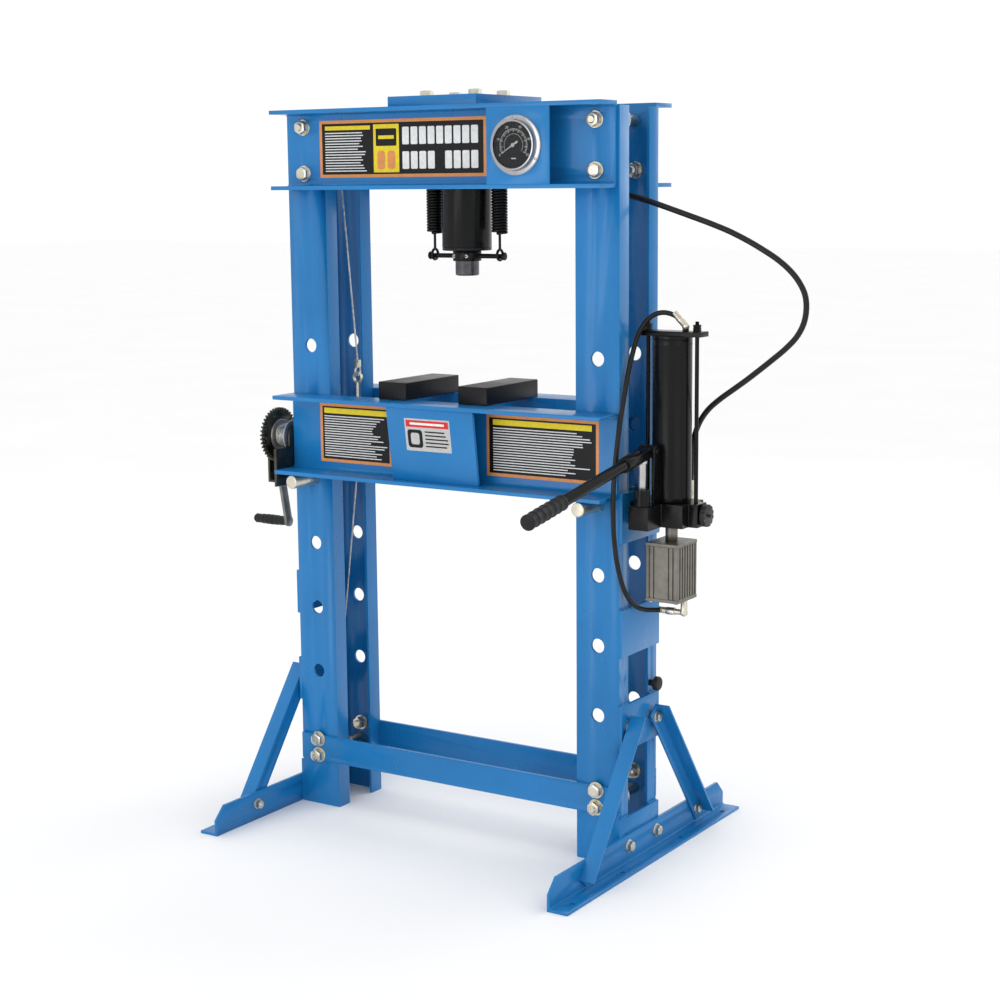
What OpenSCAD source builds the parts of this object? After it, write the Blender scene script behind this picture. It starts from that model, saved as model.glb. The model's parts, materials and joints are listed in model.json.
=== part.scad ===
// Hydraulic shop press: an H-frame of rolled channels with an adjustable bed,
// a ram under the head, a hand and air pump on the right and a bed winch on the left.
// Millimetres, +Z up, +X to the right and -Y towards the operator.
// The origin lies on the floor, in the middle of the two feet.

/* [Frame] */
// Height from the floor to the top of the head
press_h = 1850; // [1650:10:2250]
// Width over the outer edges of the posts
posts_w = 984; // [860:4:1200]
// Depth over the outer faces of the front and rear posts
posts_d = 190; // [180:2:230]
// Width of the web of each post channel
post_web = 120; // [110:2:140]
// Depth of the flanges of each post channel
post_flange = 45; // [38:1:48]
// Wall of the post channels
post_t = 7; // [5:0.5:10]

/* [Adjusting holes] */
// Diameter of the holes in the posts
hole_d = 36; // [30:1:44]
// Distance between neighbouring holes
hole_pitch = 175; // [150:5:190]
// Distance from the top of the head down to the first hole
hole_drop = 602; // [580:2:640]
// Number of holes in each post
hole_count = 6; // [4:1:6]
// Which hole carries the bed, counted from the top
bed_hole = 3; // [3:1:3]
// Diameter of the pins under the bed
pin_d = 35; // [28:0.5:35.5]
// Length of the pins under the bed
pin_len = 384; // [360:2:420]

/* [Head] */
// How much shorter the head channels are than the width over the posts
head_short = 14; // [4:2:40]
// Height of the head channels
head_h = 200; // [180:2:240]
// Width of the head channel flanges, web included
head_flange = 81; // [70:1:90]
// Wall of the webs of the head and bed channels
web_t = 8; // [6:0.5:12]
// Wall of the flanges of the head and bed channels
flange_t = 10; // [8:0.5:14]
// Length of the plate on top of the head
top_plate_l = 260; // [220:5:320]
// Depth of the plate on top of the head
top_plate_w = 300; // [240:5:340]
// Thickness of the plate on top of the head
top_plate_t = 25; // [16:1:40]

/* [Cylinder] */
// Outer diameter of the cylinder
barrel_d = 125; // [118:1:128]
// Bore of the cylinder
barrel_bore = 100; // [86:1:104]
// How far the cylinder reaches below the head
barrel_drop = 153; // [130:1:180]
// Diameter of the ram
ram_d = 60; // [50:1:64]
// Length of the ram that stands out at rest
ram_out = 63; // [55:1:80]
// Distance from the middle of the press to each return spring
spring_x = 98; // [86:1:108]
// Outer diameter of the return springs
spring_d = 42; // [34:1:44]
// Wire of the return springs
spring_wire = 7; // [5:0.5:8]

/* [Bed] */
// How much shorter the bed channels are than the width over the posts
bed_short = 3; // [0:1:20]
// Height of the bed channels
bed_h = 206; // [180:2:240]
// Width of the bed channel flanges, web included
bed_flange = 92; // [75:1:100]
// Running clearance between the bed and each post
bed_gap = 1; // [0.5:0.1:2]
// Length of the slanted plates in the middle of the bed
bed_plate_l = 260; // [200:5:320]
// Width of each arbor plate along the bed
arbor_w = 86; // [60:1:100]
// Length of each arbor plate across the bed
arbor_l = 240; // [220:5:300]
// Height of the arbor plates
arbor_h = 45; // [25:1:50]

/* [Base] */
// Length of each foot
foot_len = 900; // [760:10:1100]
// Width of the flat leg of each foot
foot_w = 55; // [50:1:70]
// Height of the standing leg of each foot
foot_h = 75; // [70:1:90]
// Wall of the feet
foot_t = 7; // [5:0.5:8]
// Height of the crossbars
crossbar_h = 71; // [60:1:90]
// Height of the crossbars above the floor
crossbar_z = 125; // [120:1:160]
// Thickness of the crossbars and of the plates on the posts
plate_t = 8; // [6:0.5:10]
// Width of each leg of the braces
brace_w = 40; // [30:1:45]

/* [Pump] */
// Distance from the right posts to the middle of the pump
pump_out = 91; // [86:1:110]
// Diameter of the oil reservoir
tank_d = 96; // [80:1:98]
// Length of the oil reservoir
tank_len = 391; // [300:1:420]
// Height of the underside of the pump base
pump_z = 849; // [840:1:860]
// Length of the pump handle from its pivot
handle_len = 556; // [420:2:640]
// Slope of the handle at rest, in degrees below level
handle_dip = 9.3; // [6:0.1:12]

/* [Winch] */
// Radius of the barrel of the winch drum
drum_r = 31; // [26:0.5:34]
// Module of the winch gears
gear_m = 3.5; // [3:0.1:3.6]
// Length of the crank between its shaft and its grip
crank_len = 168; // [130:1:200]
// Diameter of the wire rope
rope_d = 5; // [4:0.5:6]

/* [Hidden] */
$fn = 64;

// Gap between curved faces that belong to different pieces
seat_gap = 0.3;
// Radial clearance of a turning or sliding shaft
run_gap = 0.1;
// Radial clearance of a bolt in its hole
bolt_gap = 0.5;

// Frame
post_edge = posts_w / 2;
post_face = posts_d / 2;
hole_x = post_edge - post_web / 2;
head_len = posts_w - head_short;
head_z = press_h - head_h;
head_tip = post_face + head_flange;
outer_plate = post_edge + plate_t;
side_plate_h = 117;
side_plate_z = [0, 286, 525];
pump_plate_h = 122;
pump_plate_z = pump_z - 43;
bolt_d = 20;
stud_z = press_h - 42;
head_bolt_z = press_h - 159;
low_stud_z = crossbar_z + 16;
low_bolt_z = crossbar_z + 60;

// Bed
pin_z = press_h - hole_drop - (bed_hole - 1) * hole_pitch;
bed_z = pin_z + pin_d / 2 + seat_gap;
bed_top = bed_z + bed_h;
bed_face = post_face + bed_gap;
bed_tip = bed_face + bed_flange;
bed_len = posts_w - bed_short;
bed_end = bed_len / 2;
spacer_w = 30;
spacer_h = 120;
spacer_x = hole_x - post_web / 2 - 2 - spacer_w / 2;
spacer_z = bed_z + 43;

// Cylinder
barrel_z = head_z - barrel_drop;
cap_t = 30;
cap_w = 176;
cap_bolt = [72, 64];
nose_z = barrel_z - ram_out;
collar_h = 25;
bar_z = barrel_z - 14;
bar_r = 6;
hook_r = 13;
lug_hole_r = 8;
lug_z = head_z + 62;
coil_z0 = barrel_z + 38;
coil_z1 = lug_z - 29;

// Gauge
gauge_x = 258;
gauge_z = press_h - 99;
panel_x = [175, 350];
panel_t = 4;
gauge_flange_r = 70;
bezel_out = 18;
bezel_r = 59;
case_r = 56;
dial_r = 54;
dial_out = 10;
needle_out = dial_out + 3;

// Wire rope and its pulleys
rope_r = rope_d / 2;
pulley_r = 27;
pulley_rim = 32;
pulley_w = 22;
eye_wire = 3.5;
eye_r = 12.5;
clip_z = bed_top + 84;
left_rope = [-(spacer_x - 3), clip_z + 0.5];
right_rope = [spacer_x - 3, clip_z + 0.5];
low_rope = [-(spacer_x + 7), spacer_z - 62.5];

// Winch
gear_teeth = 40;
pinion_teeth = 12;
winch_y = -92;
winch_z = bed_z + 90;
winch_x = -bed_end - 1;
drum_flange_r = 42;
gear_face = 10;
gear_x = winch_x - 64;
frame_in = winch_x - 7;
frame_out = winch_x - 76;
gear_pitch_r = gear_m * gear_teeth / 2;
pinion_pitch_r = gear_m * pinion_teeth / 2;
pinion_angle = -67;
pinion_y = winch_y + (gear_pitch_r + pinion_pitch_r) * cos(pinion_angle);
pinion_z = winch_z + (gear_pitch_r + pinion_pitch_r) * sin(pinion_angle);
shaft_r = 10;
crank_angle = -79;
grip_y = pinion_y + crank_len * cos(crank_angle);
grip_z = pinion_z + crank_len * sin(crank_angle);
grip_r = 14;
rope_off = [gear_x + 28, winch_y + drum_r + rope_r + 0.4, winch_z];

// Pump
pump_x = post_edge + pump_out;
base_h = 56;
base_top = pump_z + base_h;
rod_x = 65;
rod_r = 5;
rod_sunk = 16;
bar_t = 12;
cap_disc_t = 6;
tank_top = base_top + tank_len;
bar_top = tank_top + cap_disc_t + bar_t;
lever_x = pump_x - 26;
pivot_y = -68;
pivot_z = base_top + 128;
plunger_y = -101;
plunger_r = 10;
lever_half = 11;
cheek_t = 6;
lever_w = 30;
plunger_head_r = 13;
plunger_top = pivot_z + (plunger_y - plunger_head_r - pivot_y) * tan(handle_dip)
    - lever_half / cos(handle_dip) - seat_gap;
grip_len = 150;
tube_r = 13.4;
knob_x = pump_x + 81;
knob_z = pump_z + 28;
motor = [87, 100, 144];
motor_z = pump_z - 185;
elbow_z = motor_z - 30;

// Air hose: diameter and route, from the elbow under the motor to the top of the reservoir
air_hose_d = 12;
air_route = [[572, 0, 634], [567, 0, 634], [557, -3, 634], [541, -11, 634], [527, -26, 636], [515, -46, 645],
    [509, -68, 663], [506, -89, 687], [505, -107, 716], [505, -122, 748], [505, -134, 782],
    [505, -142, 819], [505, -147, 857], [505, -149, 895], [505, -148, 932], [505, -144, 970],
    [505, -138, 1008], [505, -130, 1045], [505, -121, 1082], [505, -110, 1120], [505, -97, 1158],
    [505, -84, 1195], [505, -70, 1230], [506, -56, 1262], [508, -44, 1290], [513, -34, 1313],
    [521, -26, 1331], [533, -19, 1345], [547, -13, 1354], [562, -8, 1357], [577, -4, 1355],
    [592, -1, 1349], [600.5, 0, 1343.5], [604, 0, 1340]];
// Hydraulic hose: diameter and route, from the back of the pump base to the cylinder
oil_hose_d = 14;
oil_route = [[600, 68, 925], [600, 68, 960], [601, 68, 995], [604, 67, 1030], [611, 66, 1062],
    [625, 65, 1094], [648, 63, 1124], [679, 61, 1150], [712, 59, 1173], [748, 57, 1198],
    [784, 56, 1225], [818, 54, 1251], [850, 53, 1277], [878, 51, 1305], [896, 50, 1337],
    [903, 48, 1371], [900, 46, 1404], [885, 44, 1434], [862, 43, 1460], [832, 41, 1484],
    [797, 40, 1505], [760, 38, 1525], [712, 37, 1547], [661, 35, 1566], [610, 33, 1583],
    [558, 31, 1600], [505, 29, 1617], [465, 27, 1628], [431, 26, 1637], [398, 25, 1647],
    [365, 23, 1659], [330, 21, 1674], [295, 18, 1691], [260, 15, 1708], [225, 11, 1723],
    [190, 7, 1735], [155, 3, 1743], [130, 0, 1746], [125, 0, 1746]];

press_blue = "#2878be";
zinc = "#c9c7bd";
jet = "#17191b";

// ---- helpers -------------------------------------------------------------

// Rolled channel along X: web in the XZ plane at y = 0 to t, flanges towards +Y
module channel_x(len, h, flange, web, wall) {
    rotate([90, 0, 90]) translate([0, 0, -len / 2]) linear_extrude(len) difference() {
        square([flange, h]);
        translate([web, wall]) square([flange, h - 2 * wall]);
    }
}

// Round bar between two points
module rod_between(p, q, r) {
    v = q - p;
    l = norm(v);
    translate(p) rotate([0, acos(v[2] / l), atan2(v[1], v[0])]) cylinder(h = l, r = r, $fn = 24);
}

// Bent round bar in the XZ plane through y = 0
module bent_rod(centre, bend_r, from, to, r) {
    translate([centre[0], 0, centre[1]]) rotate([90, 0, 0]) rotate([0, 0, from])
        rotate_extrude(angle = to - from) translate([bend_r, 0]) circle(r = r, $fn = 24);
}

// Hexagonal prism measured across its flats
module hexagon(across, h) {
    cylinder(h = h, d = across / cos(30), $fn = 6);
}

// Bolt, washers and nut along +Z: the head's washer lies under z = 0
module bolt_set(d, grip, washer_d, thread = 6) {
    washer_t = d * 0.15;
    nut_h = d * 0.8;
    translate([0, 0, -washer_t]) cylinder(h = washer_t, d = washer_d);
    translate([0, 0, -washer_t - d * 0.62]) hexagon(d * 1.5, d * 0.62);
    translate([0, 0, -washer_t]) cylinder(h = grip + 2 * washer_t + nut_h + thread, d = d);
    translate([0, 0, grip]) cylinder(h = washer_t, d = washer_d);
    translate([0, 0, grip + washer_t]) hexagon(d * 1.5, nut_h);
}

// Stud with a washer and a nut at both ends, along +Z from z = 0 to z = grip
module stud_set(d, grip, washer_d) {
    washer_t = d * 0.15;
    nut_h = d * 0.8;
    translate([0, 0, -washer_t - nut_h - 5])
        cylinder(h = grip + 2 * (washer_t + nut_h + 5), d = d);
    for (end = [0, 1]) translate([0, 0, end * grip]) mirror([0, 0, 1 - end]) {
        cylinder(h = washer_t, d = washer_d);
        translate([0, 0, washer_t]) hexagon(d * 1.5, nut_h);
    }
}

// Turns +Z to +Y
module along_y() {
    rotate([-90, 0, 0]) children();
}

// Turns +Z to +X
module along_x() {
    rotate([0, 90, 0]) children();
}

// ---- head ----------------------------------------------------------------

module head_channel(side) {
    color(press_blue) difference() {
        translate([0, side * post_face, head_z]) mirror([0, side < 0 ? 1 : 0, 0])
            channel_x(head_len, head_h, head_flange, web_t, flange_t);
        for (x = [-hole_x, hole_x], z = [stud_z, head_bolt_z])
            translate([x, side * post_face - 20, z]) along_y()
                cylinder(h = 40, d = bolt_d + 2 * bolt_gap);
    }
}

module cylinder_top_plate() {
    color(press_blue) difference() {
        translate([-top_plate_l / 2, -top_plate_w / 2, press_h])
            cube([top_plate_l, top_plate_w, top_plate_t]);
        cap_bolt_holes(press_h - 1, top_plate_t + 2);
    }
}

module cap_bolt_holes(z, h) {
    for (x = [-cap_bolt[0], cap_bolt[0]], y = [-cap_bolt[1], cap_bolt[1]])
        translate([x, y, z]) cylinder(h = h, d = bolt_d + 2 * bolt_gap);
}

// ---- pressure gauge: its parts lie along -Y from the panel's front face ----

module on_panel(out) {
    translate([gauge_x, -head_tip - out, gauge_z]) along_y() children();
}

module gauge_panel() {
    color(press_blue) difference() {
        translate([panel_x[0], -head_tip, head_z + flange_t])
            cube([panel_x[1] - panel_x[0], panel_t, head_h - 2 * flange_t]);
        on_panel(1) cylinder(h = panel_t + 2, r = case_r + seat_gap);
    }
}

module gauge_case() {
    back = 30;
    color("#b9bcc0") difference() {
        union() {
            on_panel(0) cylinder(h = back, r = case_r);
            on_panel(3) cylinder(h = 3, r = gauge_flange_r);
            on_panel(bezel_out) cylinder(h = bezel_out - 3, r = bezel_r);
            for (a = [90, 210, 330]) translate([64.5 * cos(a), 0, 64.5 * sin(a)])
                on_panel(5) cylinder(h = 2, r = 3);
            translate([gauge_x, -head_tip + back, gauge_z]) along_y() hexagon(14, 14);
        }
        on_panel(bezel_out + 1) cylinder(h = bezel_out + 1 - dial_out + 2, r = dial_r);
        on_panel(dial_out) cylinder(h = dial_out + back - 6, r = dial_r - 4);
    }
}

module gauge_dial() {
    color("#101214") on_panel(dial_out) cylinder(h = 2, r = dial_r - seat_gap);
}

module gauge_needle() {
    color("#f2f2ee") {
        on_panel(needle_out + 1.6) cylinder(h = 1, r = 4.5);
        on_panel(needle_out + 0.6) cylinder(h = 3.2, r = 1.6);
        translate([gauge_x, -head_tip - needle_out - 0.6, gauge_z]) rotate([0, -31, 0])
            translate([-44, -0.4, -1]) cube([60, 0.8, 2]);
    }
}

module gauge_lens() {
    color("#dfe8ec") on_panel(bezel_out - 1) cylinder(h = 2, r = dial_r - seat_gap);
}

// ---- posts ---------------------------------------------------------------

module post(side, row) {
    color(press_blue) difference() {
        translate([side * hole_x, row * post_face, 0]) mirror([0, row > 0 ? 1 : 0, 0])
            linear_extrude(press_h - flange_t) difference() {
                translate([-post_web / 2, 0]) square([post_web, post_flange]);
                translate([-post_web / 2 + post_t, post_t])
                    square([post_web - 2 * post_t, post_flange]);
            }
        for (i = [0 : hole_count - 1])
            translate([side * hole_x, row * post_face - 20, press_h - hole_drop - i * hole_pitch])
                along_y() cylinder(h = 40, d = hole_d);
        for (z = [stud_z, head_bolt_z, low_stud_z, low_bolt_z])
            translate([side * hole_x, row * post_face - 20, z]) along_y()
                cylinder(h = 40, d = bolt_d + 2 * bolt_gap);
        for (p = side_bolts()) translate([side * post_edge - 20, row * p[0], p[1]])
            along_x() cylinder(h = 40, d = p[2] + 2 * bolt_gap);
    }
}

// Bolts through the outer flanges: distance from the middle, height, diameter and grip
function side_bolts() = [
    [foot_bolt_y, foot_bolt_z, 16, post_t + plate_t + foot_t],
    [brace_top[0], brace_top[1], 14, post_t + plate_t + foot_t + brace_t]
];
foot_bolt_y = post_face - 24;
foot_bolt_z = 45;

module frame_bolts() {
    color(zinc) {
        for (x = [-hole_x, hole_x], row = [-1, 1], z = [head_bolt_z, low_bolt_z]) {
            over = z > press_h / 2 ? web_t : plate_t;
            translate([x, row * (post_face + over), z]) mirror([0, row > 0 ? 1 : 0, 0])
                along_y() bolt_set(bolt_d, over + post_t, 42);
        }
        for (x = [-cap_bolt[0], cap_bolt[0]], y = [-cap_bolt[1], cap_bolt[1]])
            translate([x, y, press_h + top_plate_t]) {
                cylinder(h = 3, d = 36);
                translate([0, 0, 3]) hexagon(30, 12.5);
                translate([0, 0, -top_plate_t - 24]) cylinder(h = top_plate_t + 26, d = bolt_d);
            }
    }
}

module pulley_studs() {
    color(zinc) for (x = [-hole_x, hole_x], z = [stud_z, low_stud_z]) {
        over = z > press_h / 2 ? web_t : plate_t;
        translate([x, -post_face - over, z]) along_y()
            stud_set(bolt_d, 2 * (post_face + over), 42);
        for (row = [-1, 1]) spacer_tube(x, z, row);
    }
}

// Tube that keeps a pulley in the middle of its stud
module spacer_tube(x, z, row) {
    gap = pulley_w / 2 + seat_gap;
    translate([x, 0, z]) mirror([0, row < 0 ? 1 : 0, 0]) translate([0, gap, 0]) along_y()
        difference() {
            cylinder(h = post_face - post_t - gap - seat_gap, r = 15);
            translate([0, 0, -1]) cylinder(h = post_face, d = bolt_d + 2 * run_gap);
        }
}

// ---- plates, crossbars, feet and braces ------------------------------------

module side_plates() {
    color(press_blue) {
        for (side = [-1, 1], z = side_plate_z) side_plate(side, z, side_plate_h);
        side_plate(1, pump_plate_z, pump_plate_h);
    }
}

module side_plate(side, z, h) {
    difference() {
        translate([side > 0 ? post_edge : -outer_plate, -post_face, z])
            cube([plate_t, posts_d, h]);
        for (p = side_bolts(), y = [-p[0], p[0]]) if (p[1] > z && p[1] < z + h)
            translate([side * post_edge - 20, y, p[1]]) along_x()
                cylinder(h = 40, d = p[2] + 2 * bolt_gap);
    }
}

module crossbars() {
    color(press_blue) for (row = [-1, 1]) difference() {
        translate([-post_edge + 3, row > 0 ? post_face : -post_face - plate_t, crossbar_z])
            cube([posts_w - 6, plate_t, crossbar_h]);
        for (x = [-hole_x, hole_x], z = [low_stud_z, low_bolt_z])
            translate([x, row * post_face - 20, z]) along_y()
                cylinder(h = 40, d = bolt_d + 2 * bolt_gap);
    }
}

anchor_x = outer_plate + 33;
anchor_y = [foot_len / 2 - 60, 150];
anchor_d = 14;
brace_t = 5;
brace_top = [post_face - 33, 344];
brace_foot = [foot_len / 2 - 165, 42];

module feet() {
    color(press_blue) for (side = [-1, 1]) mirror([side < 0 ? 1 : 0, 0, 0]) difference() {
        translate([outer_plate, foot_len / 2, 0]) rotate([90, 0, 0]) linear_extrude(foot_len)
            difference() {
                square([foot_w, foot_h]);
                translate([foot_t, foot_t]) square([foot_w, foot_h]);
            }
        // The standing leg is cut off at a slant at both ends
        for (end = [-1, 1]) mirror([0, end < 0 ? 1 : 0, 0])
            translate([outer_plate - 1, foot_len / 2, foot_h]) rotate([0, 90, 0])
                linear_extrude(foot_w + 2) polygon([[-1, 1], [-1, -34], [0, -34], [34, 0], [34, 1]]);
        for (y = anchor_y, s = [-1, 1]) translate([anchor_x, s * y, -1])
            cylinder(h = foot_t + 2, d = anchor_d);
        for (y = [-foot_bolt_y, foot_bolt_y]) translate([outer_plate - 5, y, foot_bolt_z])
            along_x() cylinder(h = 20, d = 16 + 2 * bolt_gap);
        for (y = [-brace_foot[0], brace_foot[0]]) translate([outer_plate - 5, y, brace_foot[1]])
            along_x() cylinder(h = 20, d = 14 + 2 * bolt_gap);
    }
}

// Angle iron from the second plate down to the foot, on each side at the front and rear
module foot_braces() {
    run = brace_foot - brace_top;
    l = norm(run);
    tilt = atan2(run[0], -run[1]);
    color(press_blue) for (side = [0, 1], end = [0, 1]) mirror([side, 0, 0]) mirror([0, end, 0])
        difference() {
            translate([outer_plate + foot_t, brace_top[0], brace_top[1]]) rotate([180 + tilt, 0, 0])
                translate([0, -brace_w / 2, -25]) linear_extrude(l + 50) union() {
                    square([brace_t, brace_w]);
                    square([brace_w, brace_t]);
                }
            for (p = [brace_top, brace_foot]) translate([outer_plate, p[0], p[1]]) along_x()
                cylinder(h = 30, d = 14 + 2 * bolt_gap);
        }
}

module foot_bolts() {
    color(zinc) for (side = [0, 1], end = [0, 1]) mirror([side, 0, 0]) mirror([0, end, 0]) {
        face = outer_plate + foot_t;
        translate([face, foot_bolt_y, foot_bolt_z]) rotate([0, -90, 0])
            bolt_set(16, side_bolts()[0][3], 34, 3);
        translate([face + brace_t, brace_top[0], brace_top[1]]) rotate([0, -90, 0])
            bolt_set(14, side_bolts()[1][3], 28, 3);
        translate([face + brace_t, brace_foot[0], brace_foot[1]]) rotate([0, -90, 0])
            bolt_set(14, foot_t + brace_t, 28, 3);
        // Thick washer that fills the step between the plate and the brace
        translate([outer_plate, brace_top[0], brace_top[1]]) along_x() difference() {
            cylinder(h = foot_t, d = 34);
            translate([0, 0, -1]) cylinder(h = foot_t + 2, d = 14 + 2 * bolt_gap);
        }
    }
}

// Rubber-capped peg on the right rear post, where the handle hangs in storage
module storage_peg() {
    color(jet) translate([post_edge, post_face - 33, 429]) along_x() {
        cylinder(h = 16, r = 8);
        translate([0, 0, 15]) cylinder(h = 10, r = 18);
        translate([0, 0, 25]) cylinder(h = 3, r1 = 18, r2 = 15);
    }
}

// ---- cylinder, ram and return springs ---------------------------------------

module cylinder_barrel() {
    top = press_h - cap_t;
    color(jet) difference() {
        union() {
            translate([0, 0, barrel_z + 8]) cylinder(h = top - barrel_z - 8, d = barrel_d);
            for (side = [-1, 1]) translate([side > 0 ? 0 : -spring_x - 18, -4, lug_z - 12])
                cube([spring_x + 18, 8, 28]);
        }
        translate([0, 0, barrel_z]) cylinder(h = top, d = barrel_bore);
        for (side = [-1, 1]) translate([side * spring_x, -10, lug_z]) along_y()
            cylinder(h = 20, r = lug_hole_r);
        translate([0, 0, oil_port_z]) along_x() cylinder(h = barrel_d, r = 5);
    }
}
oil_port_z = head_z + 96;

module cylinder_cap() {
    color(jet) difference() {
        translate([-cap_w / 2, -cap_w / 2, press_h - cap_t]) cube([cap_w, cap_w, cap_t]);
        cap_bolt_holes(press_h - 25, 30);
    }
}

module cylinder_gland() {
    color("#33363a") difference() {
        union() {
            translate([0, 0, barrel_z]) cylinder(h = 8, d = barrel_d - 1);
            translate([0, 0, barrel_z + 8]) cylinder(h = 30, d = barrel_bore - 2 * seat_gap);
        }
        translate([0, 0, barrel_z - 1]) cylinder(h = 60, d = ram_d + 2 * run_gap);
    }
}

module ram() {
    piston_z = press_h - cap_t - 45;
    color("#c8cacc") {
        translate([0, 0, nose_z + 3]) cylinder(h = piston_z - nose_z - 3, d = ram_d);
        translate([0, 0, nose_z]) cylinder(h = 3, d1 = ram_d - 6, d2 = ram_d);
        translate([0, 0, piston_z]) cylinder(h = 40, d = barrel_bore - 2 * run_gap);
    }
}

// Split collar clamped on the ram, with the two arms that the springs pull up
module spring_bar() {
    color(jet) difference() {
        union() {
            translate([0, 0, bar_z - collar_h / 2]) cylinder(h = collar_h, d = ram_d + 12);
            translate([-spring_x - 16, 0, bar_z]) along_x() cylinder(h = 2 * spring_x + 32, r = bar_r);
            for (x = [-spring_x - 16, spring_x + 10]) translate([x, 0, bar_z]) along_x()
                cylinder(h = 6, r = bar_r + 4);
        }
        translate([0, 0, bar_z - 40]) cylinder(h = 80, d = ram_d + 2 * run_gap);
    }
}

// Close-coiled extension springs, each with a long loop at both ends
module return_springs() {
    coil_r = (spring_d - spring_wire) / 2;
    turns = floor((coil_z1 - coil_z0) / (spring_wire * 0.98));
    pitch = (coil_z1 - coil_z0) / turns;
    low_loop_z = bar_z + hook_r - spring_wire / 2 - bar_r - seat_gap;
    top_loop_z = lug_z + lug_hole_r - 0.5 - spring_wire / 2 - hook_r;
    color(jet) for (x = [-spring_x, spring_x]) translate([x, 0, 0]) {
        for (i = [0 : turns]) translate([0, 0, coil_z0 + i * pitch])
            rotate_extrude() translate([coil_r, 0]) circle(d = spring_wire + 0.4, $fn = 24);
        for (z = [low_loop_z, top_loop_z]) translate([0, 0, z]) rotate([0, 90, 0])
            rotate_extrude() translate([hook_r, 0]) circle(d = spring_wire, $fn = 24);
        for (z = [coil_z0, coil_z1]) translate([-coil_r, 0, z]) along_x()
            cylinder(h = 2 * coil_r, d = spring_wire, $fn = 24);
        translate([0, 0, low_loop_z + hook_r]) cylinder(h = coil_z0 - low_loop_z - hook_r,
            d = spring_wire, $fn = 24);
        translate([0, 0, coil_z1]) cylinder(h = top_loop_z - hook_r - coil_z1,
            d = spring_wire, $fn = 24);
    }
}

// ---- bed ------------------------------------------------------------------

module bed_channel(side) {
    color(press_blue) translate([0, side * bed_face, bed_z]) mirror([0, side < 0 ? 1 : 0, 0])
        channel_x(bed_len, bed_h, bed_flange, web_t, flange_t);
}

// Slanted plates between the flanges in the middle of the bed
module bed_plates() {
    color(press_blue) for (side = [0, 1]) mirror([0, side, 0])
        translate([-bed_plate_l / 2, 0, 0]) rotate([90, 0, 90]) linear_extrude(bed_plate_l)
            polygon([[-bed_tip + 5, bed_top - flange_t], [-bed_tip + 11, bed_top - flange_t],
                [-bed_tip + 37, bed_z + flange_t], [-bed_tip + 31, bed_z + flange_t]]);
}

// Box tubes that tie the bed channels together beside the posts
module bed_spacers() {
    color(press_blue) for (side = [-1, 1]) difference() {
        translate([side * spacer_x - spacer_w / 2, -bed_face, spacer_z])
            cube([spacer_w, 2 * bed_face, spacer_h]);
        translate([side * spacer_x - spacer_w / 2 + 4, -bed_face - 1, spacer_z + 4])
            cube([spacer_w - 8, 2 * bed_face + 2, spacer_h - 8]);
    }
}

// Eyebolts on the spacers, each with the thimble and clip at the end of a rope
module rope_eyes() {
    color(zinc) {
        for (x = [left_rope[0], right_rope[0]])
            rope_eye(x, spacer_z + spacer_h, clip_z - 47, clip_z);
        mirror([0, 0, 1]) rope_eye(low_rope[0], -spacer_z, 20 - spacer_z, 62 - spacer_z);
    }
}

module rope_eye(x, seat_z, ring_z, end_z) {
    loop_r = 11;
    loop_wire = rope_r;
    loop_z = ring_z + eye_r - eye_wire - loop_wire - seat_gap + loop_r;
    translate([x, 0, seat_z]) cylinder(h = 4, r = 11);
    if (ring_z - eye_r > seat_z + 10)
        translate([x, 0, seat_z]) cylinder(h = ring_z - eye_r - seat_z, r = 5);
    else
        translate([x, 0, seat_z]) cylinder(h = ring_z - eye_r - seat_z, r = 3);
    translate([x, 0, ring_z]) rotate([90, 0, 0])
        rotate_extrude() translate([eye_r, 0]) circle(r = eye_wire, $fn = 24);
    translate([x, 0, loop_z]) rotate([0, 90, 0])
        rotate_extrude() translate([loop_r, 0]) circle(r = loop_wire, $fn = 24);
    translate([x - 6, -7, loop_z + loop_r]) cube([12, 14, end_z - loop_z - loop_r]);
}

module bed_pin(side) {
    color("#b4b2a8") translate([side * hole_x, -pin_len / 2, pin_z]) along_y() {
        cylinder(h = 2, d1 = pin_d - 4, d2 = pin_d);
        translate([0, 0, 2]) cylinder(h = pin_len - 4, d = pin_d);
        translate([0, 0, pin_len - 2]) cylinder(h = 2, d1 = pin_d, d2 = pin_d - 4);
    }
}

arbor_x = [-154, 90];

module arbor_plate(x) {
    color(jet) translate([x - arbor_w / 2, -arbor_l / 2, bed_top])
        cube([arbor_w, arbor_l, arbor_h]);
}

// ---- winch at the left end of the bed -----------------------------------------

module winch_frame() {
    low_z = pinion_z - 42;
    wide_y = winch_y + 37;
    color("#3a3d40") difference() {
        union() {
            for (x = [frame_in, frame_out]) {
                translate([x, winch_y - 28, low_z]) cube([6, 92, winch_z - low_z - 20]);
                translate([x, winch_y - 28, winch_z - 21]) cube([6, 56, 21]);
                translate([x, winch_y, winch_z]) along_x() cylinder(h = 6, r = 28);
            }
            translate([frame_out, winch_y - 28, low_z]) cube([frame_in - frame_out + 6, 92, 6]);
            // Mounting ear welded to the end of the front bed channel
            translate([frame_in, -bed_tip + 10, low_z]) cube([6, bed_tip - 10 + winch_y - 20, 100]);
            translate([frame_in, -bed_tip + 10, low_z + 20])
                cube([-bed_end - frame_in, bed_tip - 10 - bed_face - 10, 80]);
        }
        for (c = [[winch_y, winch_z], [pinion_y, pinion_z]]) translate([frame_out - 10, c[0], c[1]])
            along_x() cylinder(h = frame_in - frame_out + 15.5, r = shaft_r + run_gap);
    }
}

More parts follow.
